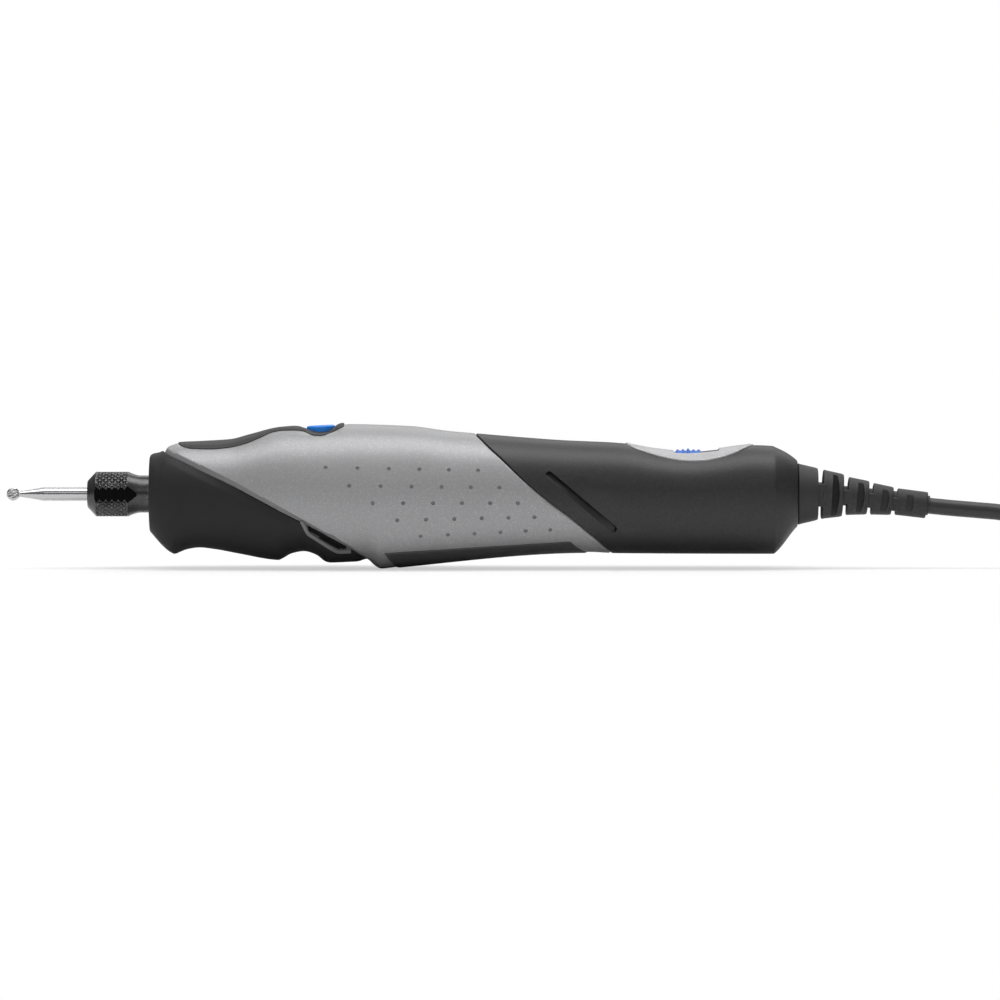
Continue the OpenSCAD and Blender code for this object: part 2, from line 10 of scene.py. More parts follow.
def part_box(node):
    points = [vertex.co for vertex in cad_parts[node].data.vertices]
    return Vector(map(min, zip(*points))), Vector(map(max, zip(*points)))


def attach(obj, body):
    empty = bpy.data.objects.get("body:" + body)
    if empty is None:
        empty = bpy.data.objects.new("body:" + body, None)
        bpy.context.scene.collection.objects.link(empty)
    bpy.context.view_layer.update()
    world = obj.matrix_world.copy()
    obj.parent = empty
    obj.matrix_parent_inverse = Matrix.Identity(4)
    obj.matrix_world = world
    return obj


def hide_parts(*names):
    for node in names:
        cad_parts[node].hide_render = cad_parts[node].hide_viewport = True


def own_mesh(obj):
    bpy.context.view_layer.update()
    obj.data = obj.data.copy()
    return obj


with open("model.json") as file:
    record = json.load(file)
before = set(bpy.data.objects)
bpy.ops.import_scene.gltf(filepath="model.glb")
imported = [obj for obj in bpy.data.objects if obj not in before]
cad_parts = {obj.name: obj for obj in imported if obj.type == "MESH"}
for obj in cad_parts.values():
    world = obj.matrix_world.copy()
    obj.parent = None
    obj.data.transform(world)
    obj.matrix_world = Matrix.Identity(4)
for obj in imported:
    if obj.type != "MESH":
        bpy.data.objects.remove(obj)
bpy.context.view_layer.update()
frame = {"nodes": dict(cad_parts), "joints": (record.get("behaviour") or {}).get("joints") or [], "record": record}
nodes = frame["nodes"]
print("frame loaded:", len(nodes), "nodes")

# The tool is worked out in millimetres: x behind the nose face, y across, z above the spindle axis
millimetre = 0.001
spinJoint = next(joint for joint in frame["joints"] if joint["name"] == "spindle_spin")
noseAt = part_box("front_grip")[0].x
axisAt = spinJoint["pos_m"][2]
toolOrigin = np.array([noseAt, 0, axisAt])
capLow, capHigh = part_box("lock_button")
buttonAt = round(((capLow.x + capHigh.x) / 2 - noseAt) / millimetre, 2)


def toRow(points):
    return np.asarray(points, float) * millimetre + toolOrigin


def toTool(points):
    return (np.asarray(points, float) - toolOrigin) / millimetre


# ---- camera, lights and floor

cameraLook = {"lens": 260, "sensor": 36, "width": 0.235, "behindMiddle": 0.0077, "belowAxis": 0.0014,
              "rise": 2.0, "farClip": 50}


def addCamera(look):
    toolLow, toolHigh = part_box("bit")[0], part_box("cord_boot")[1]
    target = Vector(((toolLow.x + toolHigh.x) / 2 + look["behindMiddle"], 0, axisAt - look["belowAxis"]))
    away = look["lens"] * look["width"] / look["sensor"]
    rise = math.radians(look["rise"])
    data = bpy.data.cameras.new("camera")
    data.lens = look["lens"]
    data.sensor_width = look["sensor"]
    data.clip_end = look["farClip"]
    camera = bpy.data.objects.new("camera", data)
    camera.location = target + Vector((0, -away * math.cos(rise), away * math.sin(rise)))
    camera.rotation_euler = (math.pi / 2 - rise, 0, 0)
    bpy.context.scene.collection.objects.link(camera)
    bpy.context.scene.camera = camera


addCamera(cameraLook)

lightLook = {
    "above": {"place": (0.02, -0.05, 0.90), "size": (1.3, 0.55), "power": 7.6},
    "front": {"place": (0.10, -1.10, 0.60), "size": (0.9, 0.4), "power": 0.7},
    "behind": {"place": (0.10, 0.80, 0.60), "size": (1.2, 0.3), "power": 2.0},
}
worldLook = {"background": 1.0, "zenith": 0.5, "horizon": 0.06, "nadir": 0.5, "belowHorizon": -0.05}
floorLook = {"size": 6.0, "colour": (0.93, 0.93, 0.93, 1), "roughness": 0.9, "clearFrom": 0.03,
             "clearTo": 0.25, "least": 0.55}


def addLights(look):
    for name, part in look.items():
        data = bpy.data.lights.new(name, "AREA")
        data.shape = "RECTANGLE"
        data.size, data.size_y = part["size"]
        data.energy = part["power"]
        light = bpy.data.objects.new(name, data)
        light.location = part["place"]
        aim = Vector((0, 0, axisAt)) - light.location
        light.rotation_euler = aim.to_track_quat("-Z", "Y").to_euler()
        bpy.context.scene.collection.objects.link(light)


def addWorld(look):
    world = bpy.data.worlds.new("studio")
    world.use_nodes = True
    tree = world.node_tree
    tree.nodes.clear()
    add, link = tree.nodes.new, tree.links.new
    coords = add("ShaderNodeTexCoord")
    split = add("ShaderNodeSeparateXYZ")
    link(coords.outputs["Generated"], split.inputs[0])
    ramp = add("ShaderNodeMapRange")
    ramp.inputs["From Min"].default_value = 0.0
    ramp.inputs["From Max"].default_value = 1.0
    ramp.inputs["To Min"].default_value = look["horizon"]
    ramp.inputs["To Max"].default_value = look["zenith"]
    link(split.outputs["Z"], ramp.inputs["Value"])
    below = add("ShaderNodeMapRange")
    below.inputs["From Min"].default_value = look["belowHorizon"]
    below.inputs["From Max"].default_value = 0.0
    below.inputs["To Min"].default_value = look["nadir"]
    below.inputs["To Max"].default_value = 1.0
    link(split.outputs["Z"], below.inputs["Value"])
    light = add("ShaderNodeMath")
    light.operation = "MULTIPLY"
    link(ramp.outputs[0], light.inputs[0])
    link(below.outputs[0], light.inputs[1])
    path = add("ShaderNodeLightPath")
    seen = add("ShaderNodeMix")
    link(path.outputs["Is Camera Ray"], seen.inputs["Factor"])
    link(light.outputs[0], seen.inputs["A"])
    seen.inputs["B"].default_value = look["background"]
    background = add("ShaderNodeBackground")
    background.inputs["Color"].default_value = (1, 1, 1, 1)
    link(seen.outputs["Result"], background.inputs["Strength"])
    output = add("ShaderNodeOutputWorld")
    link(background.outputs[0], output.inputs["Surface"])
    bpy.context.scene.world = world


def addFloor(look):
    half = look["size"] / 2
    mesh = bpy.data.meshes.new("floor")
    corners = [(-half, -half, 0), (half, -half, 0), (half, half, 0), (-half, half, 0)]
    mesh.from_pydata([Vector(p) for p in corners], [], [(0, 1, 2, 3)])
    floor = bpy.data.objects.new("floor", mesh)
    bpy.context.scene.collection.objects.link(floor)
    paint = bpy.data.materials.new("floorPaint")
    paint.use_nodes = True
    shader = paint.node_tree.nodes["Principled BSDF"]
    shader.inputs["Base Color"].default_value = look["colour"]
    shader.inputs["Roughness"].default_value = look["roughness"]
    shader.inputs["Specular IOR Level"].default_value = 0.0
    # for camera rays the floor glows: fully away from the tool, so that it meets the backdrop without an edge, and
    # in part beside it, which lightens the cast shadow there as painted light
    tree = paint.node_tree
    coords, split = tree.nodes.new("ShaderNodeTexCoord"), tree.nodes.new("ShaderNodeSeparateXYZ")
    tree.links.new(coords.outputs["Object"], split.inputs[0])
    away, clear = tree.nodes.new("ShaderNodeMath"), tree.nodes.new("ShaderNodeMapRange")
    away.operation = "ABSOLUTE"
    clear.inputs["From Min"].default_value = look["clearFrom"]
    clear.inputs["From Max"].default_value = look["clearTo"]
    clear.inputs["To Min"].default_value = look["least"]
    tree.links.new(split.outputs["Y"], away.inputs[0])
    tree.links.new(away.outputs[0], clear.inputs["Value"])
    glow = tree.nodes.new("ShaderNodeEmission")
    path, share = tree.nodes.new("ShaderNodeLightPath"), tree.nodes.new("ShaderNodeMath")
    share.operation = "MULTIPLY"
    tree.links.new(clear.outputs[0], share.inputs[0])
    tree.links.new(path.outputs["Is Camera Ray"], share.inputs[1])
    blend = tree.nodes.new("ShaderNodeMixShader")
    tree.links.new(share.outputs[0], blend.inputs[0])
    tree.links.new(shader.outputs[0], blend.inputs[1])
    tree.links.new(glow.outputs[0], blend.inputs[2])
    tree.links.new(blend.outputs[0], tree.nodes["Material Output"].inputs["Surface"])
    mesh.materials.append(paint)


addLights(lightLook)
addWorld(worldLook)
addFloor(floorLook)
bpy.context.scene.view_settings.view_transform = "Standard"
print("camera, lights and floor ready")

# ---- shader node groups that several materials share


def nodeGroup(name, inputs, outputs):
    tree = bpy.data.node_groups.new(name, "ShaderNodeTree")
    for label, kind, value in inputs:
        socket = tree.interface.new_socket(label, in_out="INPUT", socket_type="NodeSocket" + kind)
        socket.default_value = value
    for label, kind in outputs:
        tree.interface.new_socket(label, in_out="OUTPUT", socket_type="NodeSocket" + kind)
    return tree, tree.nodes.new("NodeGroupInput"), tree.nodes.new("NodeGroupOutput")


def mathNode(tree, operation, first, second=None):
    node = tree.nodes.new("ShaderNodeMath")
    node.operation = operation
    for socket, value in zip(node.inputs, (first, second)):
        if hasattr(value, "links"):
            tree.links.new(value, socket)
        elif value is not None:
            socket.default_value = value
    return node.outputs[0]


def mixColour(tree, factor, first, second):
    node = tree.nodes.new("ShaderNodeMix")
    node.data_type = "RGBA"
    tree.links.new(factor, node.inputs["Factor"])
    tree.links.new(first, node.inputs[6])
    tree.links.new(second, node.inputs[7])
    return node.outputs[2]


def spread(tree, value, low, high):
    node = tree.nodes.new("ShaderNodeMapRange")
    node.clamp = True
    node.inputs["From Min"].default_value = low
    node.inputs["From Max"].default_value = high
    tree.links.new(value, node.inputs["Value"])
    return node.outputs[0]


def objectNoise(tree, scale, detail=2.0):
    coords = tree.nodes.new("ShaderNodeTexCoord")
    noise = tree.nodes.new("ShaderNodeTexNoise")
    noise.inputs["Detail"].default_value = detail
    tree.links.new(coords.outputs["Object"], noise.inputs["Vector"])
    if hasattr(scale, "links"):
        tree.links.new(scale, noise.inputs["Scale"])
    else:
        noise.inputs["Scale"].default_value = scale
    return noise.outputs["Fac"]


def makeGrainGroup():
    # moulded grain: height for a bump, and a mask that follows it
    tree, source, target = nodeGroup(
        "mouldedGrain",
        [("Scale", "Float", 2500.0), ("Softness", "Float", 0.5)],
        [("Height", "Float"), ("Mask", "Float")],
    )
    coarse = objectNoise(tree, source.outputs["Scale"], 3.0)
    fine = objectNoise(tree, mathNode(tree, "MULTIPLY", source.outputs["Scale"], 2.7), 1.0)
    share = mathNode(tree, "MULTIPLY", fine, mathNode(tree, "SUBTRACT", 1.0, source.outputs["Softness"]))
    height = mathNode(tree, "ADD", mathNode(tree, "MULTIPLY", coarse, source.outputs["Softness"]), share)
    tree.links.new(height, target.inputs["Height"])
    tree.links.new(spread(tree, height, 0.35, 0.65), target.inputs["Mask"])
    return tree


def makeFleckGroup():
    # metallic flecks in paint or plastic
    tree, source, target = nodeGroup(
        "metallicFleck",
        [("Base", "Color", (0.4, 0.4, 0.4, 1)), ("Fleck", "Color", (0.8, 0.8, 0.8, 1)),
         ("Scale", "Float", 5000.0), ("Share", "Float", 0.1)],
        [("Colour", "Color"), ("Mask", "Float")],
    )
    coords = tree.nodes.new("ShaderNodeTexCoord")
    cells = tree.nodes.new("ShaderNodeTexVoronoi")
    tree.links.new(coords.outputs["Object"], cells.inputs["Vector"])
    tree.links.new(source.outputs["Scale"], cells.inputs["Scale"])
    split = tree.nodes.new("ShaderNodeSeparateColor")
    tree.links.new(cells.outputs["Color"], split.inputs[0])
    limit = mathNode(tree, "SUBTRACT", 1.0, source.outputs["Share"])
    chosen = mathNode(tree, "GREATER_THAN", split.outputs[0], limit)
    strength = mathNode(tree, "MULTIPLY", chosen, split.outputs[1])
    colour = mixColour(tree, strength, source.outputs["Base"], source.outputs["Fleck"])
    tree.links.new(colour, target.inputs["Colour"])
    tree.links.new(strength, target.inputs["Mask"])
    return tree


def makeWearGroup():
    # edges rubbed lighter where the surface turns sharply, broken up by noise
    tree, source, target = nodeGroup(
        "edgeWear",
        [("Colour", "Color", (0.1, 0.1, 0.1, 1)), ("Worn", "Color", (0.3, 0.3, 0.3, 1)),
         ("Amount", "Float", 0.4), ("Scale", "Float", 400.0)],
        [("Colour", "Color"), ("Mask", "Float")],
    )
    geometry = tree.nodes.new("ShaderNodeNewGeometry")
    edge = spread(tree, geometry.outputs["Pointiness"], 0.52, 0.62)
    broken = spread(tree, objectNoise(tree, source.outputs["Scale"], 4.0), 0.38, 0.62)
    mask = mathNode(tree, "MULTIPLY", mathNode(tree, "MULTIPLY", edge, broken), source.outputs["Amount"])
    colour = mixColour(tree, mask, source.outputs["Colour"], source.outputs["Worn"])
    tree.links.new(colour, target.inputs["Colour"])
    tree.links.new(mask, target.inputs["Mask"])
    return tree


def makeDustGroup():
    # a thin film of dust that settles where the surface faces up
    tree, source, target = nodeGroup(
        "settledDust",
        [("Colour", "Color", (0.1, 0.1, 0.1, 1)), ("Dust", "Color", (0.45, 0.43, 0.4, 1)),
         ("Amount", "Float", 0.05)],
        [("Colour", "Color"), ("Mask", "Float")],
    )
    geometry = tree.nodes.new("ShaderNodeNewGeometry")
    split = tree.nodes.new("ShaderNodeSeparateXYZ")
    tree.links.new(geometry.outputs["Normal"], split.inputs[0])
    upward = spread(tree, split.outputs["Z"], 0.1, 1.0)
    patchy = spread(tree, objectNoise(tree, 90.0, 6.0), 0.3, 0.75)
    mask = mathNode(tree, "MULTIPLY", mathNode(tree, "MULTIPLY", upward, patchy), source.outputs["Amount"])
    colour = mixColour(tree, mask, source.outputs["Colour"], source.outputs["Dust"])
    tree.links.new(colour, target.inputs["Colour"])
    tree.links.new(mask, target.inputs["Mask"])
    return tree


grainGroup = makeGrainGroup()
fleckGroup = makeFleckGroup()
wearGroup = makeWearGroup()
dustGroup = makeDustGroup()


def placeGroup(tree, group, **values):
    node = tree.nodes.new("ShaderNodeGroup")
    node.node_tree = group
    for label, value in values.items():
        if hasattr(value, "links"):
            tree.links.new(value, node.inputs[label])
        else:
            node.inputs[label].default_value = value
    return node.outputs


def grey(value):
    return (value, value, value * 1.02, 1)


# ---- materials


finish = {"softness": 0.6, "grainRoughens": 0.08, "dustRoughens": 0.5, "wearPolishes": 0.15,
          "coatRoughness": 0.2}


def surface(name, look):
    # a moulded or machined finish: colour, flecks, wear, dust, grain and what they do to roughness
    paint = bpy.data.materials.new(name)
    paint.use_nodes = True
    tree = paint.node_tree
    shader = tree.nodes["Principled BSDF"]
    shader.inputs["Metallic"].default_value = look.get("metallic", 0.0)
    shader.inputs["Specular IOR Level"].default_value = look.get("specular", 0.5)
    shader.inputs["Coat Weight"].default_value = look.get("coat", 0.0)
    shader.inputs["Coat Roughness"].default_value = finish["coatRoughness"]
    shader.inputs["Anisotropic"].default_value = look.get("anisotropic", 0.0)
    shader.inputs["Sheen Weight"].default_value = look.get("sheen", 0.0)
    tone = tree.nodes.new("ShaderNodeMix")
    tone.data_type = "RGBA"
    base = look["colour"]
    tone.inputs[6].default_value = base
    tone.inputs[7].default_value = [channel * (1 - look.get("mottle", 0.1)) for channel in base[:3]] + [1]
    tree.links.new(objectNoise(tree, look.get("mottleScale", 60.0), 5.0), tone.inputs["Factor"])
    colour = tone.outputs[2]
    if look.get("fleck"):
        colour = placeGroup(tree, fleckGroup, Base=colour, Fleck=look["fleck"], Scale=look["fleckScale"],
                            Share=look["fleckShare"])["Colour"]
    worn = placeGroup(tree, wearGroup, Colour=colour, Worn=look.get("worn", base),
                      Amount=look.get("wear", 0.3), Scale=look.get("wearScale", 500.0))
    dusty = placeGroup(tree, dustGroup, Colour=worn["Colour"], Amount=look.get("dust", 0.04))
    tree.links.new(dusty["Colour"], shader.inputs["Base Color"])
    grain = placeGroup(tree, grainGroup, Scale=look.get("grainScale", 2500.0), Softness=finish["softness"])
    rough = mathNode(tree, "MULTIPLY_ADD", grain["Mask"], finish["grainRoughens"])
    rough.node.inputs[2].default_value = look["roughness"]
    rough = mathNode(tree, "ADD", rough, mathNode(tree, "MULTIPLY", dusty["Mask"], finish["dustRoughens"]))
    polish = mathNode(tree, "MULTIPLY", worn["Mask"], finish["wearPolishes"])
    rough = mathNode(tree, "SUBTRACT", rough, polish)
    tree.links.new(rough, shader.inputs["Roughness"])
    bump = tree.nodes.new("ShaderNodeBump")
    bump.inputs["Strength"].default_value = look.get("bump", 0.3)
    bump.inputs["Distance"].default_value = look.get("bumpDepth", 0.00004)
    tree.links.new(grain["Height"], bump.inputs["Height"])
    tree.links.new(bump.outputs[0], shader.inputs["Normal"])
    return paint


shellPlastic = surface("shellPlastic", {
    "colour": grey(0.35), "mottle": 0.05, "roughness": 0.42, "specular": 0.45, "metallic": 0.35,
    "fleck": grey(0.5), "fleckScale": 7000.0, "fleckShare": 0.17, "worn": grey(0.42), "wear": 0.2,
    "grainScale": 2600.0, "bump": 0.25, "bumpDepth": 0.00003, "dust": 0.02})
# darker copy of the shell grey for the dimple hollows: painted shade
dimplePaintedShade = surface("dimplePaintedShade", {
    "colour": grey(0.23), "mottle": 0.1, "roughness": 0.45, "specular": 0.4, "metallic": 0.3,
    "grainScale": 2600.0, "bump": 0.2, "dust": 0.05})
# darker copy of the shell grey for the lip band along the front seam and for the vent rims: painted shade
lipPaintedShade = surface("lipPaintedShade", {
    "colour": grey(0.2), "mottle": 0.1, "roughness": 0.45, "specular": 0.4, "grainScale": 2600.0,
    "bump": 0.2})
gripRubber = surface("gripRubber", {
    "colour": grey(0.013), "mottle": 0.25, "roughness": 0.62, "specular": 0.38, "sheen": 0.03,
    "worn": grey(0.03), "wear": 0.3, "grainScale": 3200.0, "bump": 0.3, "bumpDepth": 0.00003, "dust": 0.03})
stripRubber = surface("stripRubber", {
    "colour": grey(0.03), "mottle": 0.15, "roughness": 0.55, "specular": 0.4, "worn": grey(0.06),
    "grainScale": 3000.0, "bump": 0.25, "dust": 0.03})
bellyRubber = surface("bellyRubber", {
    "colour": grey(0.055), "mottle": 0.15, "roughness": 0.38, "specular": 0.5, "worn": grey(0.09),
    "grainScale": 3000.0, "bump": 0.15, "dust": 0.0})
ventPlastic = surface("ventPlastic", {
    "colour": grey(0.012), "mottle": 0.2, "roughness": 0.55, "specular": 0.4, "worn": grey(0.05),
    "bump": 0.2})
rearPlastic = surface("rearPlastic", {
    "colour": grey(0.0115), "mottle": 0.12, "roughness": 0.43, "specular": 0.55,
    "worn": grey(0.025), "wear": 0.35, "fleck": grey(0.03), "fleckScale": 7000.0, "fleckShare": 0.25,
    "grainScale": 4500.0, "bump": 0.4, "dust": 0.03})
padPlastic = surface("padPlastic", {
    "colour": grey(0.46), "mottle": 0.06, "roughness": 0.4, "specular": 0.45, "metallic": 0.2,
    "fleck": grey(0.65), "fleckScale": 7000.0, "fleckShare": 0.15, "worn": grey(0.5), "bump": 0.2})
bootRubber = surface("bootRubber", {
    "colour": grey(0.03), "mottle": 0.2, "roughness": 0.56, "specular": 0.42, "worn": grey(0.07), "wear": 0.5,
    "grainScale": 3200.0, "bump": 0.35, "dust": 0.05})
screwSteel = surface("screwSteel", {
    "colour": grey(0.08), "metallic": 0.9, "roughness": 0.35, "worn": grey(0.4), "wear": 0.5, "bump": 0.1})
bushAluminium = surface("bushAluminium", {
    "colour": grey(0.58), "metallic": 1.0, "roughness": 0.35, "worn": grey(0.8), "anisotropic": 0.4,
    "bump": 0.1})
bearingSteel = surface("bearingSteel", {
    "colour": grey(0.62), "metallic": 1.0, "roughness": 0.14, "worn": grey(0.8), "bump": 0.05})
motorSteel = surface("motorSteel", {
    "colour": (0.55, 0.56, 0.54, 1), "metallic": 1.0, "roughness": 0.38, "worn": grey(0.75), "bump": 0.15})
capPlastic = surface("capPlastic", {
    "colour": grey(0.03), "roughness": 0.5, "worn": grey(0.08), "bump": 0.2})
magnetFerrite = surface("magnetFerrite", {
    "colour": grey(0.06), "roughness": 0.8, "worn": grey(0.15), "bump": 0.6})
brushCarbon = surface("brushCarbon", {
    "colour": (0.05, 0.04, 0.035, 1), "roughness": 0.7, "worn": grey(0.1), "bump": 0.5})
coreSteel = surface("coreSteel", {
    "colour": grey(0.35), "metallic": 1.0, "roughness": 0.45, "worn": grey(0.5), "grainScale": 1800.0,
    "bump": 0.3})
copperWire = surface("copperWire", {
    "colour": (0.66, 0.3, 0.12, 1), "metallic": 1.0, "roughness": 0.3, "worn": (0.8, 0.5, 0.3, 1),
    "bump": 0.4})
fanPlastic = surface("fanPlastic", {
    "colour": grey(0.04), "roughness": 0.45, "worn": grey(0.1), "bump": 0.2, "dust": 0.3})
spindleSteel = surface("spindleSteel", {
    "colour": grey(0.5), "metallic": 1.0, "roughness": 0.25, "worn": grey(0.7), "anisotropic": 0.5,
    "bump": 0.08})
colletSteel = surface("colletSteel", {
    "colour": grey(0.6), "metallic": 1.0, "roughness": 0.22, "worn": grey(0.8), "anisotropic": 0.5,
    "bump": 0.08})
nutOxide = surface("nutOxide", {
    "colour": grey(0.09), "mottle": 0.3, "mottleScale": 400.0, "metallic": 0.85, "roughness": 0.24,
    "worn": grey(0.45), "wear": 0.7, "wearScale": 900.0, "bump": 0.15, "dust": 0.0})
# near-black, barely specular paint for the nut's flats, which are the same steel as the knurl: a painted dark
# reflection
nutFlatPaintedReflection = surface("nutFlatPaintedReflection", {
    "colour": grey(0.002), "mottle": 0.4, "mottleScale": 500.0, "metallic": 0.0, "specular": 0.06,
    "roughness": 0.16, "worn": grey(0.01), "wear": 0.3, "bump": 0.12, "dust": 0.0})
bitSteel = surface("bitSteel", {
    "colour": grey(0.55), "metallic": 1.0, "roughness": 0.16, "worn": grey(0.8), "anisotropic": 0.6,
    "bump": 0.06, "dust": 0.0})
buttonBlue = surface("buttonBlue", {
    "colour": (0.012, 0.27, 0.95, 1), "mottle": 0.1, "roughness": 0.34, "specular": 0.5, "coat": 0.15,
    "worn": (0.05, 0.28, 0.8, 1), "bump": 0.12, "dust": 0.0})
# darker copy of the button's blue for the slider, offsetting the light on its up-facing ribs: painted shade
sliderBluePaintedShade = surface("sliderBluePaintedShade", {
    "colour": (0.006, 0.14, 0.62, 1), "mottle": 0.1, "roughness": 0.45, "specular": 0.4, "coat": 0.15,
    "worn": (0.015, 0.17, 0.66, 1), "bump": 0.12, "dust": 0.0})
springSteel = surface("springSteel", {
    "colour": grey(0.6), "metallic": 1.0, "roughness": 0.25, "worn": grey(0.8), "bump": 0.05})
boardGreen = surface("boardGreen", {
    "colour": (0.02, 0.16, 0.06, 1), "roughness": 0.3, "worn": (0.1, 0.3, 0.12, 1), "coat": 0.4, "bump": 0.1})
switchPlastic = surface("switchPlastic", {
    "colour": grey(0.12), "roughness": 0.45, "worn": grey(0.2), "bump": 0.2})
capacitorSleeve = surface("capacitorSleeve", {
    "colour": (0.03, 0.03, 0.16, 1), "roughness": 0.28, "worn": (0.1, 0.1, 0.3, 1), "bump": 0.1})
transistorEpoxy = surface("transistorEpoxy", {
    "colour": grey(0.02), "roughness": 0.5, "worn": grey(0.06), "bump": 0.3})
wireRed = surface("wireRed", {
    "colour": (0.42, 0.02, 0.02, 1), "roughness": 0.35, "worn": (0.5, 0.1, 0.1, 1), "bump": 0.1})
cordJacket = surface("cordJacket", {
    "colour": grey(0.022), "mottle": 0.12, "roughness": 0.4, "specular": 0.5, "worn": grey(0.05),
    "grainScale": 1600.0, "bump": 0.2, "dust": 0.04})
tieFabric = surface("tieFabric", {
    "colour": grey(0.02), "mottle": 0.4, "mottleScale": 2600.0, "roughness": 0.85, "worn": grey(0.06),
    "sheen": 0.3, "grainScale": 1400.0, "bump": 0.9, "bumpDepth": 0.0002, "dust": 0.1})
adapterPlastic = surface("adapterPlastic", {
    "colour": grey(0.02), "mottle": 0.1, "roughness": 0.46, "specular": 0.45, "worn": grey(0.06), "wear": 0.5,
    "grainScale": 1700.0, "bump": 0.7, "bumpDepth": 0.00006, "dust": 0.06})
transformerCore = surface("transformerCore", {
    "colour": (0.3, 0.22, 0.15, 1), "metallic": 0.7, "roughness": 0.5, "worn": grey(0.4), "bump": 0.4})
bladeBrass = surface("bladeBrass", {
    "colour": (0.72, 0.68, 0.55, 1), "metallic": 1.0, "roughness": 0.24, "worn": (0.8, 0.65, 0.35, 1),
    "anisotropic": 0.3, "bump": 0.08})

slotMaterials = {
    "grip_rubber": gripRubber, "shell_satin": shellPlastic, "strip_rubber": stripRubber,
    "belly_rubber": bellyRubber, "vent_plastic": ventPlastic, "rear_plastic": rearPlastic,
    "pad_plastic": padPlastic, "boot_rubber": bootRubber, "screw_steel": screwSteel,
    "bush_aluminium": bushAluminium, "bearing_steel": bearingSteel, "motor_steel": motorSteel,
    "cap_plastic": capPlastic, "magnet_ferrite": magnetFerrite, "brush_carbon": brushCarbon,
    "core_steel": coreSteel, "copper": copperWire, "fan_plastic": fanPlastic, "spindle_steel": spindleSteel,
    "collet_steel": colletSteel, "nut_oxide": nutOxide, "bit_steel": bitSteel, "button_blue": buttonBlue,
    "spring_steel": springSteel, "board_green": boardGreen, "switch_plastic": switchPlastic,
    "capacitor_sleeve": capacitorSleeve, "transistor_epoxy": transistorEpoxy, "wire_red": wireRed,
    "cord_jacket": cordJacket, "tie_fabric": tieFabric, "adapter_plastic": adapterPlastic,
    "transformer_core": transformerCore, "blade_brass": bladeBrass}
for subpart in frame["record"]["subparts"]:
    carried = nodes[subpart["node"]]
    for materialSlot in carried.material_slots:
        materialSlot.material = slotMaterials[subpart["material_slot"]]
print("materials ready:", len(slotMaterials))

# ---- making and joining meshes


def outwardMesh(name, points, faces):
    mesh = bpy.data.meshes.new(name)
    mesh.from_pydata([tuple(p) for p in points], [], faces)
    mesh.validate()
    build = bmesh.new()
    build.from_mesh(mesh)
    bmesh.ops.recalc_face_normals(build, faces=build.faces)
    build.to_mesh(mesh)
    build.free()
    mesh.polygons.foreach_set("use_smooth", [True] * len(mesh.polygons))
    return mesh


def addPiece(name, points, faces, slot, body, replaced=(), sharp=35, paints=None, faceSlots=None,
             inMetres=False):
    # points are in tool millimetres, or in metres of the whole model when inMetres is set
    placed = points if inMetres else toRow(points)
    mesh = outwardMesh(name, np.asarray(placed, float).tolist(), faces)
    for paint in paints or [slotMaterials[slot]]:
        mesh.materials.append(paint)
    if faceSlots is not None:
        mesh.polygons.foreach_set("material_index", faceSlots)
    mesh.set_sharp_from_angle(angle=math.radians(sharp))
    piece = bpy.data.objects.new(name, mesh)
    bpy.context.scene.collection.objects.link(piece)
    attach(piece, body)
    if replaced:
        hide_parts(*replaced)
    return piece


def merged(parts):
    # one list of points and faces from several
    points, faces, start = [], [], 0
    for part, partFaces in parts:
        points.extend(np.asarray(part, float).tolist())
        faces.extend([tuple(index + start for index in face) for face in partFaces])
        start += len(part)
    return np.array(points), faces


def cutterObject(points, faces, paints=()):
    # with paints, the faces it leaves take the last of them
    mesh = outwardMesh("cutter", toRow(points).tolist(), faces)
    for paint in paints:
        mesh.materials.append(paint)
    mesh.polygons.foreach_set("material_index", [max(len(paints) - 1, 0)] * len(mesh.polygons))
    cutter = bpy.data.objects.new("cutter", mesh)
    bpy.context.scene.collection.objects.link(cutter)
    return cutter


def carve(piece, cutters, sharp=35):
    # takes the cutters out of the piece
    for cutter in cutters:
        modifier = piece.modifiers.new("carve", "BOOLEAN")
        modifier.operation = "DIFFERENCE"
        modifier.solver = "EXACT"
        modifier.object = cutter
    bpy.context.view_layer.update()
    graph = bpy.context.evaluated_depsgraph_get()
    mesh = bpy.data.meshes.new_from_object(piece.evaluated_get(graph))
    piece.modifiers.clear()
    old, piece.data = piece.data, mesh
    mesh.name = piece.name
    bpy.data.meshes.remove(old)
    mesh.set_sharp_from_angle(angle=math.radians(sharp))
    for cutter in cutters:
        bpy.data.objects.remove(cutter)


def gridFaces(rows, columns, closed=False):
    # faces between the points of a grid; closed joins its last column to its first
    span = columns if closed else columns - 1
    return [(i * columns + j, i * columns + (j + 1) % columns,
             (i + 1) * columns + (j + 1) % columns, (i + 1) * columns + j)
            for i in range(rows - 1) for j in range(span)]


def tubeFaces(rings, count):
    # walls between rings of points, and a face over each end
    last = (rings - 1) * count
    return gridFaces(rings, count, True) + [tuple(range(count)), tuple(range(last, last + count))]


def gridBorder(rows, columns):
    # indices round the edge of a grid of points
    border = list(range(columns)) + [i * columns + columns - 1 for i in range(1, rows)]
    border += [(rows - 1) * columns + j for j in range(columns - 2, -1, -1)]
    return border + [i * columns for i in range(rows - 2, 0, -1)]


def slabFaces(rows, columns):
    # two grids of points, one after the other, closed into a slab
    size = rows * columns
    faces = []
    for quad in gridFaces(rows, columns):
        faces += [quad, tuple(index + size for index in quad)]
    border = gridBorder(rows, columns)
    return faces + [(a, b, b + size, a + size) for a, b in zip(border, border[1:] + border[:1])]


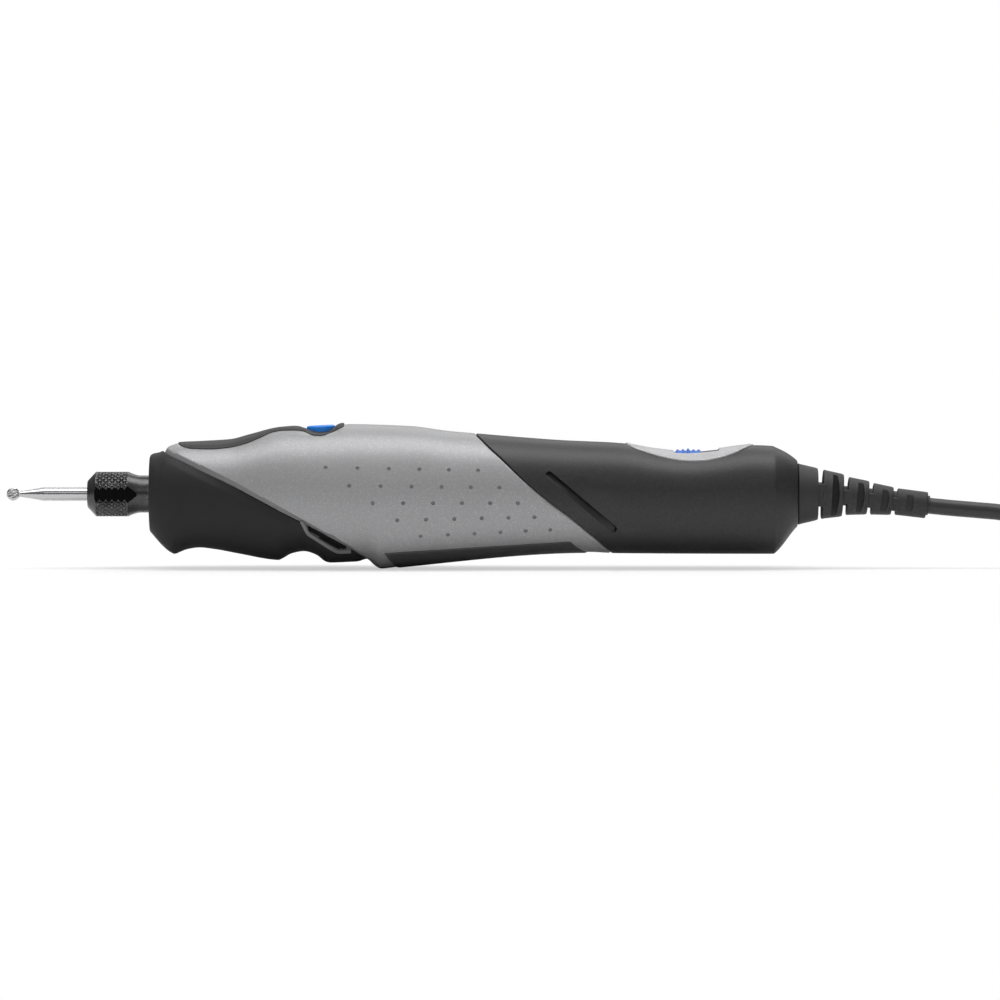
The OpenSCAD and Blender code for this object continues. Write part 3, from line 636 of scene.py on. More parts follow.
def smoothCurve(points):
    # monotone cubic through [place, value] pairs
    places, values = np.array(sorted(points), float).T
    step = np.diff(places)
    slope = np.diff(values) / step
    tangent = np.zeros_like(places)
    before, after = 2 * step[1:] + step[:-1], step[1:] + 2 * step[:-1]
    same = slope[:-1] * slope[1:] > 0
    one, two = np.where(same, slope[:-1], 1), np.where(same, slope[1:], 1)
    tangent[1:-1] = np.where(same, (before + after) / (before / one + after / two), 0)
    tangent[0], tangent[-1] = slope[0], slope[-1]

    def at(place):
        place = np.clip(place, places[0], places[-1])
        k = np.clip(np.searchsorted(places, place) - 1, 0, len(step) - 1)
        t = (place - places[k]) / step[k]
        start = (1 + 2 * t) * (1 - t) ** 2 * values[k] + t * (1 - t) ** 2 * step[k] * tangent[k]
        return start + t * t * (3 - 2 * t) * values[k + 1] + t * t * (t - 1) * step[k] * tangent[k + 1]

    return at


def smoothStep(value):
    value = np.clip(value, 0, 1)
    return value * value * (3 - 2 * value)


def turned(profile, count=96, bump=None, centre=(0, 0), axis="x"):
    # closed shape turned about an axis from [along, radius] points; ends at the first and last point
    along, radius = np.array(profile, float).T
    angle = np.linspace(0, 2 * np.pi, count, endpoint=False)
    grid = radius[:, None] * np.ones(count)
    if bump is not None:
        grid = bump(along[:, None] * np.ones(count), grid, angle[None, :] * np.ones((len(along), 1)))
    first, second = grid * np.cos(angle), grid * np.sin(angle)
    length = along[:, None] * np.ones(count)
    order = {"x": (length, first, second), "z": (first, second, length)}[axis]
    shift = {"x": (0, centre[0], centre[1]), "z": (centre[0], centre[1], 0)}[axis]
    points = np.stack(order, -1).reshape(-1, 3) + np.array(shift)
    return points, tubeFaces(len(along), count)


def ringTurned(profile, count=96, bump=None, axis="x", centre=(0, 0)):
    # as turned, but the profile closes on itself, which leaves a hole along the axis
    points, faces = turned(profile, count, bump, centre, axis)
    faces = faces[:-2]
    last = (len(profile) - 1) * count
    faces += [(last + k, last + (k + 1) % count, (k + 1) % count, k) for k in range(count)]
    return points, faces


def prism(outline, low, high):
    # straight prism across the tool from [x, z] points
    count = len(outline)
    points = [(x, y, z) for y in (low, high) for x, z in outline]
    faces = [tuple(range(count)), tuple(range(count, 2 * count))]
    faces += [(k, (k + 1) % count, count + (k + 1) % count, count + k) for k in range(count)]
    return np.array(points, float), faces


def roundedCorners(outline, radius, steps=5):
    # outline with each corner rounded by a small arc-like curve
    rounded = []
    count = len(outline)
    for k, corner in enumerate(outline):
        corner = np.array(corner, float)
        back = np.array(outline[k - 1], float) - corner
        ahead = np.array(outline[(k + 1) % count], float) - corner
        reach = min(radius, np.linalg.norm(back) / 2.2, np.linalg.norm(ahead) / 2.2)
        start = corner + back / np.linalg.norm(back) * reach
        end = corner + ahead / np.linalg.norm(ahead) * reach
        for t in np.linspace(0, 1, steps):
            rounded.append(tuple((1 - t) ** 2 * start + 2 * t * (1 - t) * corner + t * t * end))
    return rounded


# ---- the cord: route, coil and tail

cordLook = {
    "diameter": 0.0038, "length": 1.35,
    "route": [(108, 0, 14.8), (114, 0, 14.2), (120, 0, 13.7), (126, -0.4, 13.1), (132, -1.5, 11.6),
              (138, -2.9, 9.4), (144, -4.5, 6.9), (150, -6.2, 4.6), (156, -8, 2.9), (161.5, -9.9, 2.2),
              (166.7, -11.9, 2.4)],
    "tail": [(186.7, -11.3, 13.9), (192.5, -8.4, 14), (198, -5, 14.6), (203, -1.4, 15.6), (207.5, 1.8, 16.6),
             (212, 3.5, 17)],
    "layers": 4, "columns": 3, "climb": 0.5, "lift": 0.0005, "stepsPerTurn": 36}


def coilRoute(look):
    # layers wound inwards and outwards in turn, each a diameter above the last
    low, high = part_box("cord_coil")
    middle = (low + high) / 2
    cordDiameter = look["diameter"]
    outside = (high.x - low.x) / 2 - cordDiameter / 2
    inside = outside - (look["columns"] - 1) * cordDiameter
    start = Vector([value * millimetre for value in look["route"][-1]]) - middle
    end = Vector([value * millimetre for value in look["tail"][0]]) - middle
    first = math.atan2(start.y, start.x)
    sweep = (math.atan2(end.y, end.x) - first) % (2 * math.pi) / (2 * math.pi)
    layerTurns = look["columns"] - 1
    spareTurns = round(look["layers"] * (layerTurns + look["climb"])) + sweep - look["layers"] * layerTurns
    climb = spareTurns / (look["layers"] - 1)
    points = []
    turns = look["layers"] * layerTurns + spareTurns
    stepCount = round(turns * look["stepsPerTurn"])
    for step in range(1, stepCount):
        turn = turns * step / stepCount
        layer = min(int(turn / (layerTurns + climb)), look["layers"] - 1)
        within = turn - layer * (layerTurns + climb)
        across = min(within / layerTurns, 1.0)
        raised = 0.0
        if layer < look["layers"] - 1:
            raised = math.sin(math.pi / 2 * max(within - layerTurns, 0) / climb)
        fromOutside = across if layer % 2 == 0 else 1 - across
        radius = outside - (outside - inside) * fromOutside
        angle = first + turn * 2 * math.pi
        height = look["lift"] + cordDiameter * (0.5 + layer + raised)
        points.append(Vector((middle.x + radius * math.cos(angle),
                              middle.y + radius * math.sin(angle), height)))
    return points


def throughPoints(points, steps):
    # Catmull-Rom curve through the points
    fine = []
    for k in range(len(points) - 1):
        before, start = points[max(k - 1, 0)], points[k]
        end, after = points[k + 1], points[min(k + 2, len(points) - 1)]
        for step in range(steps):
            t = step / steps
            bend = (2 * before - 5 * start + 4 * end - after) * t * t
            twist = (3 * start - before - 3 * end + after) * t ** 3
            fine.append(0.5 * (2 * start + (end - before) * t + bend + twist))
    fine.append(points[-1])
    return fine


def tubeAlong(route, radius, count=24):
    # closed tube through the route
    fine = throughPoints(route, 6)
    points = []
    for k, point in enumerate(fine):
        heading = (fine[min(k + 1, len(fine) - 1)] - fine[max(k - 1, 0)]).normalized()
        right = heading.cross(Vector((0, 0, 1))).normalized()
        up = right.cross(heading)
        for step in range(count):
            turn = 2 * math.pi * step / count
            points.append(point + right * math.cos(turn) * radius + up * math.sin(turn) * radius)
    return np.array([tuple(p) for p in points]), tubeFaces(len(fine), count)


def addCord(look):
    route = [Vector(point) * millimetre for point in look["route"]]
    tail = [Vector(point) * millimetre for point in look["tail"]]
    points = throughPoints(route, 4)[:-1] + coilRoute(look) + throughPoints(tail, 4)
    curve = bpy.data.curves.new("cord_flex", "CURVE")
    curve.dimensions = "3D"
    curve.bevel_depth = look["diameter"] / 2
    curve.bevel_resolution = 6
    curve.use_fill_caps = True
    spline = curve.splines.new("POLY")
    spline.points.add(len(points) - 1)
    for place, point in zip(spline.points, points):
        place.co = (*point, 1)
    spline.use_smooth = True
    curve.materials.append(cordJacket)
    cord = bpy.data.objects.new("cord_flex", curve)
    bpy.context.scene.collection.objects.link(cord)
    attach(cord, "root")
    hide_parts("cord", "cord_coil", "cord_tail")
    length = sum((b - a).length for a, b in zip(points, points[1:]))
    print("cord length", round(length, 3), "m in", len(points), "points")
    return cord, points[0]


cordFlex, cordExit = addCord(cordLook)
print("cord ready")

# ---- the housing's skin

skin = {
    "top": [(0, 8.8), (0.5, 9.4), (2.4, 9.9), (4.7, 11.3), (7, 12), (12, 12.25), (19, 12.7), (23.5, 13.85),
            (30.5, 15.55), (33.5, 15.8), (37, 16.0), (41, 16.18), (46.9, 16.45), (52, 16.35), (61, 16),
            (70.5, 14.8), (77.5, 14.2), (87, 13.4), (96.5, 12.7), (110.5, 12), (119, 10.6), (126, 10),
            (133, 10.6), (141, 11.5), (146.3, 11.3), (146.8, 11.1), (151.8, 8.1), (152.2, 7.6)],
    "dish": [(33.5, 0), (34.6, -0.08), (36.05, -0.55), (36.9, -0.85), (38.5, -1.17), (40.2, -1.4),
             (41.8, -1.35), (43.4, -0.7), (44.4, -0.12), (45.2, 0.1), (45.9, -0.1), (46.9, 0), (60, 0)],
    "dishFrom": 0.84, "dishTo": 0.965,
    "bottom": [(0, 8.6), (0.5, 9.3), (5.3, 13.9), (5.9, 14.1), (6.6, 13.8), (9, 12.9), (11.7, 12.55),
               (15, 12.9), (21, 14), (29.4, 15.45), (30.3, 15.5), (31, 15.2), (33.4, 13.9), (36.2, 13.4),
               (39, 14.2), (41.4, 15.9), (42.3, 16.1), (51, 15.8), (54.4, 17.5), (58, 17.1), (103, 13.6),
               (110, 13.9), (146.5, 14.05), (146.9, 13.8), (151.8, 7.9), (152.2, 7.5)],
    "side": [(0, 8.7), (0.5, 9.3), (4, 11.4), (8, 12.2), (19, 12.9), (30, 14.6), (40, 15.8), (55, 16.4),
             (70, 15.4), (87, 13.9), (96, 13.3), (110, 12.9), (141, 12.3), (146.5, 12.2), (146.9, 11.95),
             (151.8, 8.0), (152.2, 7.5)],
    "widthRatio": 0.95, "roundness": 2.2, "end": 152.2,
    "frontSeam": [(3.2, 10.0), (3.9, 9.75), (6.4, 8.85), (11.75, 6.25), (18.8, 2.8), (25.85, -1.0),
                  (32.9, -4.85), (36.4, -6.75), (47.1, -12.85), (51, -15.7), (54.4, -18.5)],
    "rearSeam": [(76.5, 14.4), (79.3, 11.75), (83.35, 8.0), (87.25, 4.2), (91.45, 0.5), (93.75, -1.4),
                 (98.75, -5.2), (102.9, -8.9), (108.5, -13.9)]}
topLine = smoothCurve(skin["top"])
dishLine = smoothCurve(skin["dish"])
bottomLine = smoothCurve(skin["bottom"])
sideLine = smoothCurve(skin["side"])
frontSeam = smoothCurve([(z, x) for x, z in skin["frontSeam"]])
rearSeam = smoothCurve([(z, x) for x, z in skin["rearSeam"]])
frontSeamHeight = smoothCurve(skin["frontSeam"])


def skinPoint(x, angle):
    # heights and half widths joined by a squarish oval; the dish sinks only near the top
    cosine, sine = np.cos(angle), np.sin(angle)
    half = sideLine(x) * skin["widthRatio"]
    dished = smoothStep((sine - skin["dishFrom"]) / (skin["dishTo"] - skin["dishFrom"]))
    rise = np.where(sine >= 0, topLine(x) + dishLine(x) * dished, bottomLine(x))
    power = skin["roundness"]
    radius = (np.abs(cosine / half) ** power + np.abs(sine / rise) ** power) ** (-1 / power)
    return np.stack([x, radius * cosine, radius * sine], -1)


def skinNormal(x, angle):
    small = 0.02
    along = skinPoint(x + small, angle) - skinPoint(x - small, angle)
    around = skinPoint(x, angle + small / 10) - skinPoint(x, angle - small / 10)
    normal = np.cross(around, along)
    return normal / np.linalg.norm(normal, axis=-1, keepdims=True)


def onSeam(seam, angle, guess):
    # where the seam crosses the line of the skin at each angle
    x = np.full_like(angle, guess, dtype=float)
    for _ in range(60):
        x = 0.5 * x + 0.5 * seam(skinPoint(x, angle)[..., 2])
    return x


def angleAt(x, z, side):
    # angle of the skin at height z; side is -1 towards -y
    low, high = np.full_like(x, -np.pi / 2), np.full_like(x, np.pi / 2)
    for _ in range(40):
        middle = (low + high) / 2
        under = skinPoint(x, middle)[..., 2] < z
        low, high = np.where(under, middle, low), np.where(under, high, middle)
    return low if side > 0 else np.pi - low


def stations(length, step, frontRound=0.0, rearRound=0.0):
    # shares from 0 to 1, close together where the ends are rounded
    near = np.array([0, 0.04, 0.14, 0.3, 0.5, 0.74])
    front, rear = frontRound / length, rearRound / length
    inner = np.linspace(front, 1 - rear, max(int(length * (1 - front - rear) / step), 2))
    parts = [near * front] if frontRound else []
    parts.append(inner)
    if rearRound:
        parts.append(1 - near[::-1] * rear)
    return np.concatenate(parts)


def edgeDistances(points, normals, wrap=False):
    # distance of each point from the four borders of the grid, square to the border
    def fromStart(grid, gridNormals):
        step = np.linalg.norm(np.diff(grid, axis=0), axis=-1)
        along = np.gradient(grid[0], axis=0)
        outward = np.cross(gridNormals[0], along)
        outward /= np.maximum(np.linalg.norm(outward, axis=-1, keepdims=True), 1e-9)
        inward = grid[min(8, len(grid) - 1)] - grid[0]
        inward /= np.maximum(np.linalg.norm(inward, axis=-1, keepdims=True), 1e-9)
        square = np.clip(np.abs((outward * inward).sum(-1)), 0.25, 1)
        return np.concatenate([np.zeros((1, grid.shape[1])), np.cumsum(step, axis=0)]) * square

    far = np.full(points.shape[:2], 1e3)
    turnedPoints, turnedNormals = points.transpose(1, 0, 2), normals.transpose(1, 0, 2)
    return [fromStart(points, normals), fromStart(points[::-1], normals[::-1])[::-1],
            far if wrap else fromStart(turnedPoints, turnedNormals).T,
            far if wrap else fromStart(turnedPoints[::-1], turnedNormals[::-1])[::-1].T]


def shellGrid(x, angle, rounds, thickness, lift=0.0, bump=None, stride=4):
    # closed plate on the skin: outer grid with rolled edges, coarser inner grid, and walls between
    points, normals = skinPoint(x, angle), skinNormal(x, angle)
    distances = edgeDistances(points, normals)
    depth = np.zeros(x.shape)
    for distance, rounding in zip(distances, rounds):
        if rounding:
            left = np.clip(rounding - distance, 0, rounding)
            depth = np.maximum(depth, rounding - np.sqrt(rounding ** 2 - left ** 2))
    depth -= lift
    if bump is not None:
        depth += bump(points, distances)
    outer = points - normals * depth[..., None]
    rows, columns = x.shape
    rowPicks = sorted(set(range(0, rows, stride)) | {rows - 1})
    columnPicks = sorted(set(range(0, columns, stride)) | {columns - 1})
    inner = (points - normals * thickness)[np.ix_(rowPicks, columnPicks)]
    innerRows, innerColumns = inner.shape[:2]
    start = rows * columns

    def outerAt(i, j):
        return i * columns + j

    def innerAt(i, j):
        return start + i * innerColumns + j

    faces = gridFaces(rows, columns)
    faces += [tuple(start + index for index in face[::-1]) for face in gridFaces(innerRows, innerColumns)]
    for outerRow, innerRow in ((0, 0), (rows - 1, innerRows - 1)):
        for k in range(len(columnPicks) - 1):
            edge = [outerAt(outerRow, j) for j in range(columnPicks[k], columnPicks[k + 1] + 1)]
            faces.append(tuple(edge + [innerAt(innerRow, k + 1), innerAt(innerRow, k)]))
    for outerColumn, innerColumn in ((0, 0), (columns - 1, innerColumns - 1)):
        for k in range(len(rowPicks) - 1):
            edge = [outerAt(i, outerColumn) for i in range(rowPicks[k], rowPicks[k + 1] + 1)]
            faces.append(tuple(edge + [innerAt(k + 1, innerColumn), innerAt(k, innerColumn)]))
    return np.concatenate([outer.reshape(-1, 3), inner.reshape(-1, 3)]), faces


halfGap = 0.06  # half of the joint between two mouldings
pastSide = 30  # well outside the tool, for cutters that go right through

# ---- front grip: rubber sleeve with a nose face, a hole for the chuck and the vent cut out of it

gripLook = {"start": 0.35, "hole": 5.2, "holeDepth": 1.9, "thickness": 1.6, "edge": 0.25, "step": 0.4,
            "sink": 0.55, "sinkWidth": 2.4, "sinkFrom": 2.5, "sinkFull": 6.5, "ventCorner": 0.5,
            "face": [(0.1, 0.64), (0.0, 0.7), (0.0, 0.9), (0.04, 0.955), (0.16, 0.985)],
            "vent": [(36.5, -6.9), (37.4, -8.7), (44.1, -12.95), (46.9, -12.95), (49.5, -12.95),
                     (36.5, -5.2)]}


def addFrontGrip(look):
    angle = np.radians(np.arange(0, 360, 2.0))
    columns = len(angle)
    start = look["start"]
    end = onSeam(frontSeam, angle, 30.0) - 2 * halfGap
    share = stations(36.0, look["step"], 0.6, 0.5)
    x = start + (end - start) * share[:, None]
    around = np.ones((len(share), 1)) * angle
    points, normals = skinPoint(x, around), skinNormal(x, around)
    fromSeam = edgeDistances(points, normals, True)[1]
    left = np.clip(look["edge"] - fromSeam, 0, look["edge"])
    depth = look["edge"] - np.sqrt(look["edge"] ** 2 - left ** 2)
    sunk = smoothStep((x - look["sinkFrom"]) / (look["sinkFull"] - look["sinkFrom"]))
    depth += look["sink"] * (1 - smoothStep(fromSeam / look["sinkWidth"])) * sunk
    outer = points - normals * depth[..., None]
    rim = skinPoint(np.full(columns, start), angle)
    radii = np.hypot(rim[:, 1], rim[:, 2])
    hole = np.full(columns, look["hole"])
    rings = [(look["holeDepth"], hole), (start, hole)]
    rings += [(ringX, radii * scale) for ringX, scale in look["face"]]
    faceRings = [np.stack([np.full(columns, ringX), size * np.cos(angle), size * np.sin(angle)], -1)
                 for ringX, size in rings]
    insideShare = np.linspace(1, 0.05, 24)
    insideX = start + (end - start) * insideShare[:, None]
    insideAngle = np.ones((len(insideShare), 1)) * angle
    inside = skinPoint(insideX, insideAngle) - skinNormal(insideX, insideAngle) * look["thickness"]
    grid = np.concatenate([np.array(faceRings), outer, inside])
    last = (len(grid) - 1) * columns
    faces = gridFaces(len(grid), columns, True)
    faces += [(last + j, last + (j + 1) % columns, (j + 1) % columns, j) for j in range(columns)]
    grip = addPiece("grip_sleeve", grid.reshape(-1, 3), faces, "grip_rubber", "root", ["front_grip"])
    vent = roundedCorners(look["vent"], look["ventCorner"])
    carve(grip, [cutterObject(*prism(vent, -pastSide, pastSide))])


addFrontGrip(gripLook)

# ---- vents: a thin rim round each window, a dark floor and slats along the seam

ventLook = {"rimWidth": 0.36, "rimLift": 0.14, "rimDepth": 1.2,
            "rimPath": [(35.9, -6.0), (36.45, -6.95), (37.35, -8.8), (38.6, -9.75), (41.3, -11.5),
                        (43.9, -13.1), (44.7, -13.3), (46.0, -13.25), (47.4, -13.2)],
            "floorUpper": [(36.3, -6.4), (47.2, -12.9)], "floorLower": [(36.6, -8.9), (46.6, -13.5)],
            "floorDepth": 1.5, "floorThick": 1.0, "slats": 3, "slatWidth": 0.17, "slatDepth": 0.75,
            "slatDrop": 0.75, "slatPitch": 0.95, "slatStart": 37.5, "slatEnd": 46.3, "slatStartShift": 0.9,
            "slatEndShift": 0.55}


def skinBar(path, side, halfWidth, lift, depth, steps=6):
    # slim raised bar that follows a path of [x, z] points over the skin
    fine = [np.array(p) for p in throughPoints([Vector((x, z)) for x, z in path], steps)]
    section = [(-1, -depth), (-1, lift * 0.4), (-0.6, lift * 0.9), (0, lift), (0.6, lift * 0.9),
               (1, lift * 0.4), (1, -depth)]
    rings = []
    for k, point in enumerate(fine):
        ahead, back = fine[min(k + 1, len(fine) - 1)], fine[max(k - 1, 0)]
        heading = (ahead - back) / np.linalg.norm(ahead - back)
        across = np.array([-heading[1], heading[0]])
        ring = []
        for offset, height in section:
            place = point + across * offset * halfWidth
            x = np.array([place[0]])
            angle = angleAt(x, place[1], side)
            ring.append((skinPoint(x, angle) + skinNormal(x, angle) * height)[0])
        rings.append(ring)
    return np.array(rings).reshape(-1, 3), tubeFaces(len(rings), len(section))


def addVents(look):
    share = np.linspace(0, 1, 14)[:, None, None]
    upper, lower = ([np.array(point) for point in look[name]] for name in ("floorUpper", "floorLower"))
    upperLine = upper[0] * (1 - share) + upper[1] * share
    lowerLine = lower[0] * (1 - share) + lower[1] * share
    down = np.linspace(0, 1, 6)[None, :, None]
    flat = upperLine * (1 - down) + lowerLine * down
    for side, label in ((-1, "left"), (1, "right")):
        bar = skinBar(look["rimPath"], side, look["rimWidth"], look["rimLift"], look["rimDepth"])
        # the rim takes the darker lip grey: painted shade
        addPiece(f"vent_rim_{label}", *bar, "shell_satin", "root", sharp=50, paints=[lipPaintedShade])
        angle = angleAt(flat[..., 0], flat[..., 1], side)
        skinAt, normal = skinPoint(flat[..., 0], angle), skinNormal(flat[..., 0], angle)
        levels = [(skinAt - normal * depth).reshape(-1, 3)
                  for depth in (look["floorDepth"], look["floorDepth"] + look["floorThick"])]
        parts = [(np.concatenate(levels), slabFaces(*flat.shape[:2]))]
        for slat in range(look["slats"]):
            drop = look["slatDrop"] + look["slatPitch"] * slat
            startX = look["slatStart"] + look["slatStartShift"] * slat
            endX = look["slatEnd"] - look["slatEndShift"] * slat
            line = [(x, frontSeamHeight(x) - drop) for x in np.linspace(startX, endX, 8)]
            depth = look["floorDepth"] + 0.3
            parts.append(skinBar(line, side, look["slatWidth"], -look["slatDepth"], depth, 2))
        points, faces = merged(parts)
        addPiece(f"vent_slats_{label}", points, faces, "vent_plastic", "root", [f"vent_grille_{label}"])


addVents(ventLook)
print("front grip and vents ready")

# ---- grey shell halves, with a grid of dimples on each side

shellLook = {"thickness": 1.8, "frontRound": 0.15, "rearRound": 0.7, "partingRound": 0.12,
             "dimpleRadius": 0.48, "dimpleDepth": 0.3, "lip": 1.15, "lipSlope": 0.5,
             "clearOfScrew": 2.7, "dimpleEase": 0.016,
             "dimpleRows": [(41.6, 6.65, 77.1, 5.95, 6), (47.1, 2.45, 82.1, 1.95, 6),
                            (52.6, -1.6, 86.4, -1.65, 6), (58.3, -5.6, 90.3, -4.95, 6),
                            (63.7, -9.4, 94.0, -7.95, 6)]}
buttonHole = 3.62


def buttonWell():
    # round cutter for the button's hole in the skin above it
    return cutterObject(*turned([(6, buttonHole), (20, buttonHole)], 64, None, (buttonAt, 0), "z"))


def dimpleCentres(look):
    # each row runs from its first to its last dimple, a little closer together towards the rear
    centres = []
    for x0, z0, x1, z1, count in look["dimpleRows"]:
        for k in range(count):
            share = k / (count - 1)
            eased = share + look["dimpleEase"] * math.sin(math.pi * share)
            centres.append((x0 + (x1 - x0) * eased, z0 + (z1 - z0) * share))
    return centres


screwLook = {"shellPlaces": [(30, 12.2), (48, 13.6), (87, -8)], "rearPlaces": [(143.5, -5.5)],
             "pocketRadius": 1.7, "pocketDepth": 1.7, "headRadius": 1.45, "headHeight": 0.85,
             "stemRadius": 0.75, "stemLength": 7.0, "cross": (1.0, 0.24, 0.45)}


def screwSeat(place):
    # where the far side of the skin is at this place
    at = np.array([float(place[0])])
    return skinPoint(at, angleAt(at, place[1], 1))[0, 1]


def acrossTool(points, x, z):
    # turns a shape made along x so that it lies across the tool at x, z
    return np.stack([points[:, 1] + x, points[:, 0], points[:, 2] + z], -1)


def screwPockets(look, places):
    # round pockets over the screw heads, on the far side
    cutters = []
    for x, z in places:
        y = screwSeat((x, z))
        radius = look["pocketRadius"]
        points, faces = turned([(y - look["pocketDepth"], radius), (pastSide, radius)], 40)
        cutters.append(cutterObject(acrossTool(points, x, z), faces))
    return cutters


def addScrews(look):
    parts, cutters = [], []
    for x, z in look["shellPlaces"] + look["rearPlaces"]:
        low = screwSeat((x, z)) - look["pocketDepth"] + 0.02
        high, radius = low + look["headHeight"], look["headRadius"]
        profile = [(low - look["stemLength"], 0.01), (low - look["stemLength"] + 0.5, look["stemRadius"]),
                   (low, look["stemRadius"]), (low, radius), (high - 0.3, radius), (high - 0.1, radius - 0.2),
                   (high, radius - 0.6), (high, 0.01)]
        points, faces = turned(profile, 40)
        parts.append((acrossTool(points, x, z), faces))
        reach, half, deep = look["cross"]
        for wide, tall in ((reach, half), (half, reach)):
            corners = [(x - wide, z - tall), (x + wide, z - tall), (x + wide, z + tall), (x - wide, z + tall)]
            cutters.append(cutterObject(*prism(corners, high - deep, pastSide)))
    points, faces = merged(parts)
    screws = addPiece("case_screws", points, faces, "screw_steel", "root", ["housing_screws"], sharp=30)
    carve(screws, cutters, sharp=30)


# shell grey, then darker copies of it for the lip band and for the dimple hollows: painted shade
shellPaints = [shellPlastic, lipPaintedShade, dimplePaintedShade]


def dimpleCutter(centres, look, side):
    # one ball for each dimple, sunk so far that it leaves a round hollow; the hollow's faces take the darker
    # dimple grey, painted shade
    ball = (look["dimpleRadius"] ** 2 + look["dimpleDepth"] ** 2) / (2 * look["dimpleDepth"])
    parts = []
    for x, z in centres:
        at = np.array([float(x)])
        angle = angleAt(at, z, side)
        middle = (skinPoint(at, angle) + skinNormal(at, angle) * (ball - look["dimpleDepth"]))[0]
        rings = [(ball * -math.cos(turn), max(ball * math.sin(turn), 0.01))
                 for turn in np.linspace(0, math.pi, 15)]
        points, faces = turned(rings, 24, None, (0, 0), "z")
        parts.append((points + middle, faces))
    return cutterObject(*merged(parts), shellPaints)


def addShells(look):
    centres = dimpleCentres(look)

    def bump(points, distances):
        # flat chamfer along the front seam
        seamward.append(distances[0])
        return look["lipSlope"] * np.clip(look["lip"] - distances[0], 0, look["lip"])

    for side, label in ((-1, "left"), (1, "right")):
        gap = halfGap / 15  # the joint as an angle
        coarse = np.radians(np.arange(90, 148, 2.2))
        dense = np.radians(np.arange(148, 232, 0.9))
        under = np.radians(np.arange(232, 269, 2.2))
        angle = np.concatenate([[np.pi / 2 + gap, np.pi / 2 + gap * 2.5], coarse[1:], dense, under,
                                [1.5 * np.pi - gap * 2.5, 1.5 * np.pi - gap]])
        if side > 0:
            angle = (np.pi - angle)[::-1]
        start = onSeam(frontSeam, angle, 30.0)
        end = onSeam(rearSeam, angle, 85.0) - halfGap
        share = stations(60.0, 0.25, 2.0, 1.3)
        x = start + (end - start) * share[:, None]
        around = np.ones((len(share), 1)) * angle
        rounds = (look["frontRound"], look["rearRound"], look["partingRound"], look["partingRound"])
        seamward = []
        points, faces = shellGrid(x, around, rounds, look["thickness"], bump=bump)
        fromSeam = seamward[0]
        middle = (fromSeam[:-1, :-1] + fromSeam[1:, :-1] + fromSeam[:-1, 1:] + fromSeam[1:, 1:]) / 4
        # faces on the lip band take the darker lip grey: painted shade
        slots = [int(near) for near in (middle < look["lip"]).ravel()]
        slots += [0] * (len(faces) - len(slots))
        shell = addPiece(f"grey_shell_{label}", points, faces, "shell_satin", "root", [f"shell_{label}"],
                         sharp=50, paints=shellPaints, faceSlots=slots)
        cutters = [buttonWell()]
        if side > 0:
            screws = screwLook["shellPlaces"]
            cutters += screwPockets(screwLook, screws)
            centres = [(x, z) for x, z in centres
                       if all(math.hypot(x - a, z - b) > look["clearOfScrew"] for a, b in screws)]
        cutters.append(dimpleCutter(centres, look, side))
        carve(shell, cutters, sharp=40)


addShells(shellLook)
addScrews(screwLook)
print("grey shells ready")

# ---- rubber strip along the top, with the dish and the hole of the lock button

stripLook = {"thickness": 1.5, "lift": 0.25, "round": 0.32, "endRound": 0.3, "groove": 0.16,
             "grooveIn": 0.75, "grooveHalf": 0.28,
             "edge": [(6.6, 11.95), (8.2, 11.1), (10.2, 10.75), (14.5, 10.65), (18.3, 10.95), (22.8, 12.0),
                      (26, 13.3), (29.2, 14.65), (31.4, 15.0), (34, 15.05), (36.05, 14.85), (37.1, 14.45),
                      (38.1, 14.05), (39.2, 13.88), (40.2, 13.85), (41.3, 14.05), (42.35, 14.4),
                      (43.4, 14.85), (44.4, 15.35), (45.75, 16.0)]}


def overlayGrid(edge, count, across, minimum=0.035):
    # grid over the top of the tool, bounded on both sides by the height of an edge line
    x = np.linspace(edge[0][0], edge[-1][0], count)
    limit = np.minimum(smoothCurve(edge)(x), topLine(x) - 1e-4)
    right = angleAt(x, limit, 1)
    spreadAngle = np.maximum(np.pi / 2 - right, minimum)
    angle = np.pi / 2 + spreadAngle[:, None] * across
    return x[:, None] * np.ones(len(across)), angle


def nearEnds(count, reach=0.12):
    # shares from -1 to 1 that crowd towards both ends
    inner = np.linspace(-1 + reach, 1 - reach, count)
    near = reach * np.array([0, 0.06, 0.2, 0.42, 0.7])
    return np.concatenate([-1 + near, inner, 1 - near[::-1]])


def addStrip(look):
    x, angle = overlayGrid(look["edge"], 150, nearEnds(30))

    def bump(points, distances):
        fromEdge = np.minimum(distances[2], distances[3])
        return look["groove"] * (1 - smoothStep(np.abs(fromEdge - look["grooveIn"]) / look["grooveHalf"]))

    rounds = (look["endRound"], look["endRound"], look["round"], look["round"])
    points, faces = shellGrid(x, angle, rounds, look["thickness"], look["lift"], bump, stride=2)
    strip = addPiece("thumb_strip", points, faces, "strip_rubber", "root", ["top_strip"], sharp=50)
    carve(strip, [buttonWell()], sharp=50)


addStrip(stripLook)

# ---- belly inlay: smooth dark panel set into the underside of the shells

bellyLook = {"thickness": 1.3, "lift": 0.25, "round": 0.35, "topFront": (55.1, -13.4),
             "topRear": (98.6, -10.8), "bottomFront": 58.3, "bottomRear": 102.7, "endCurve": 1.6}


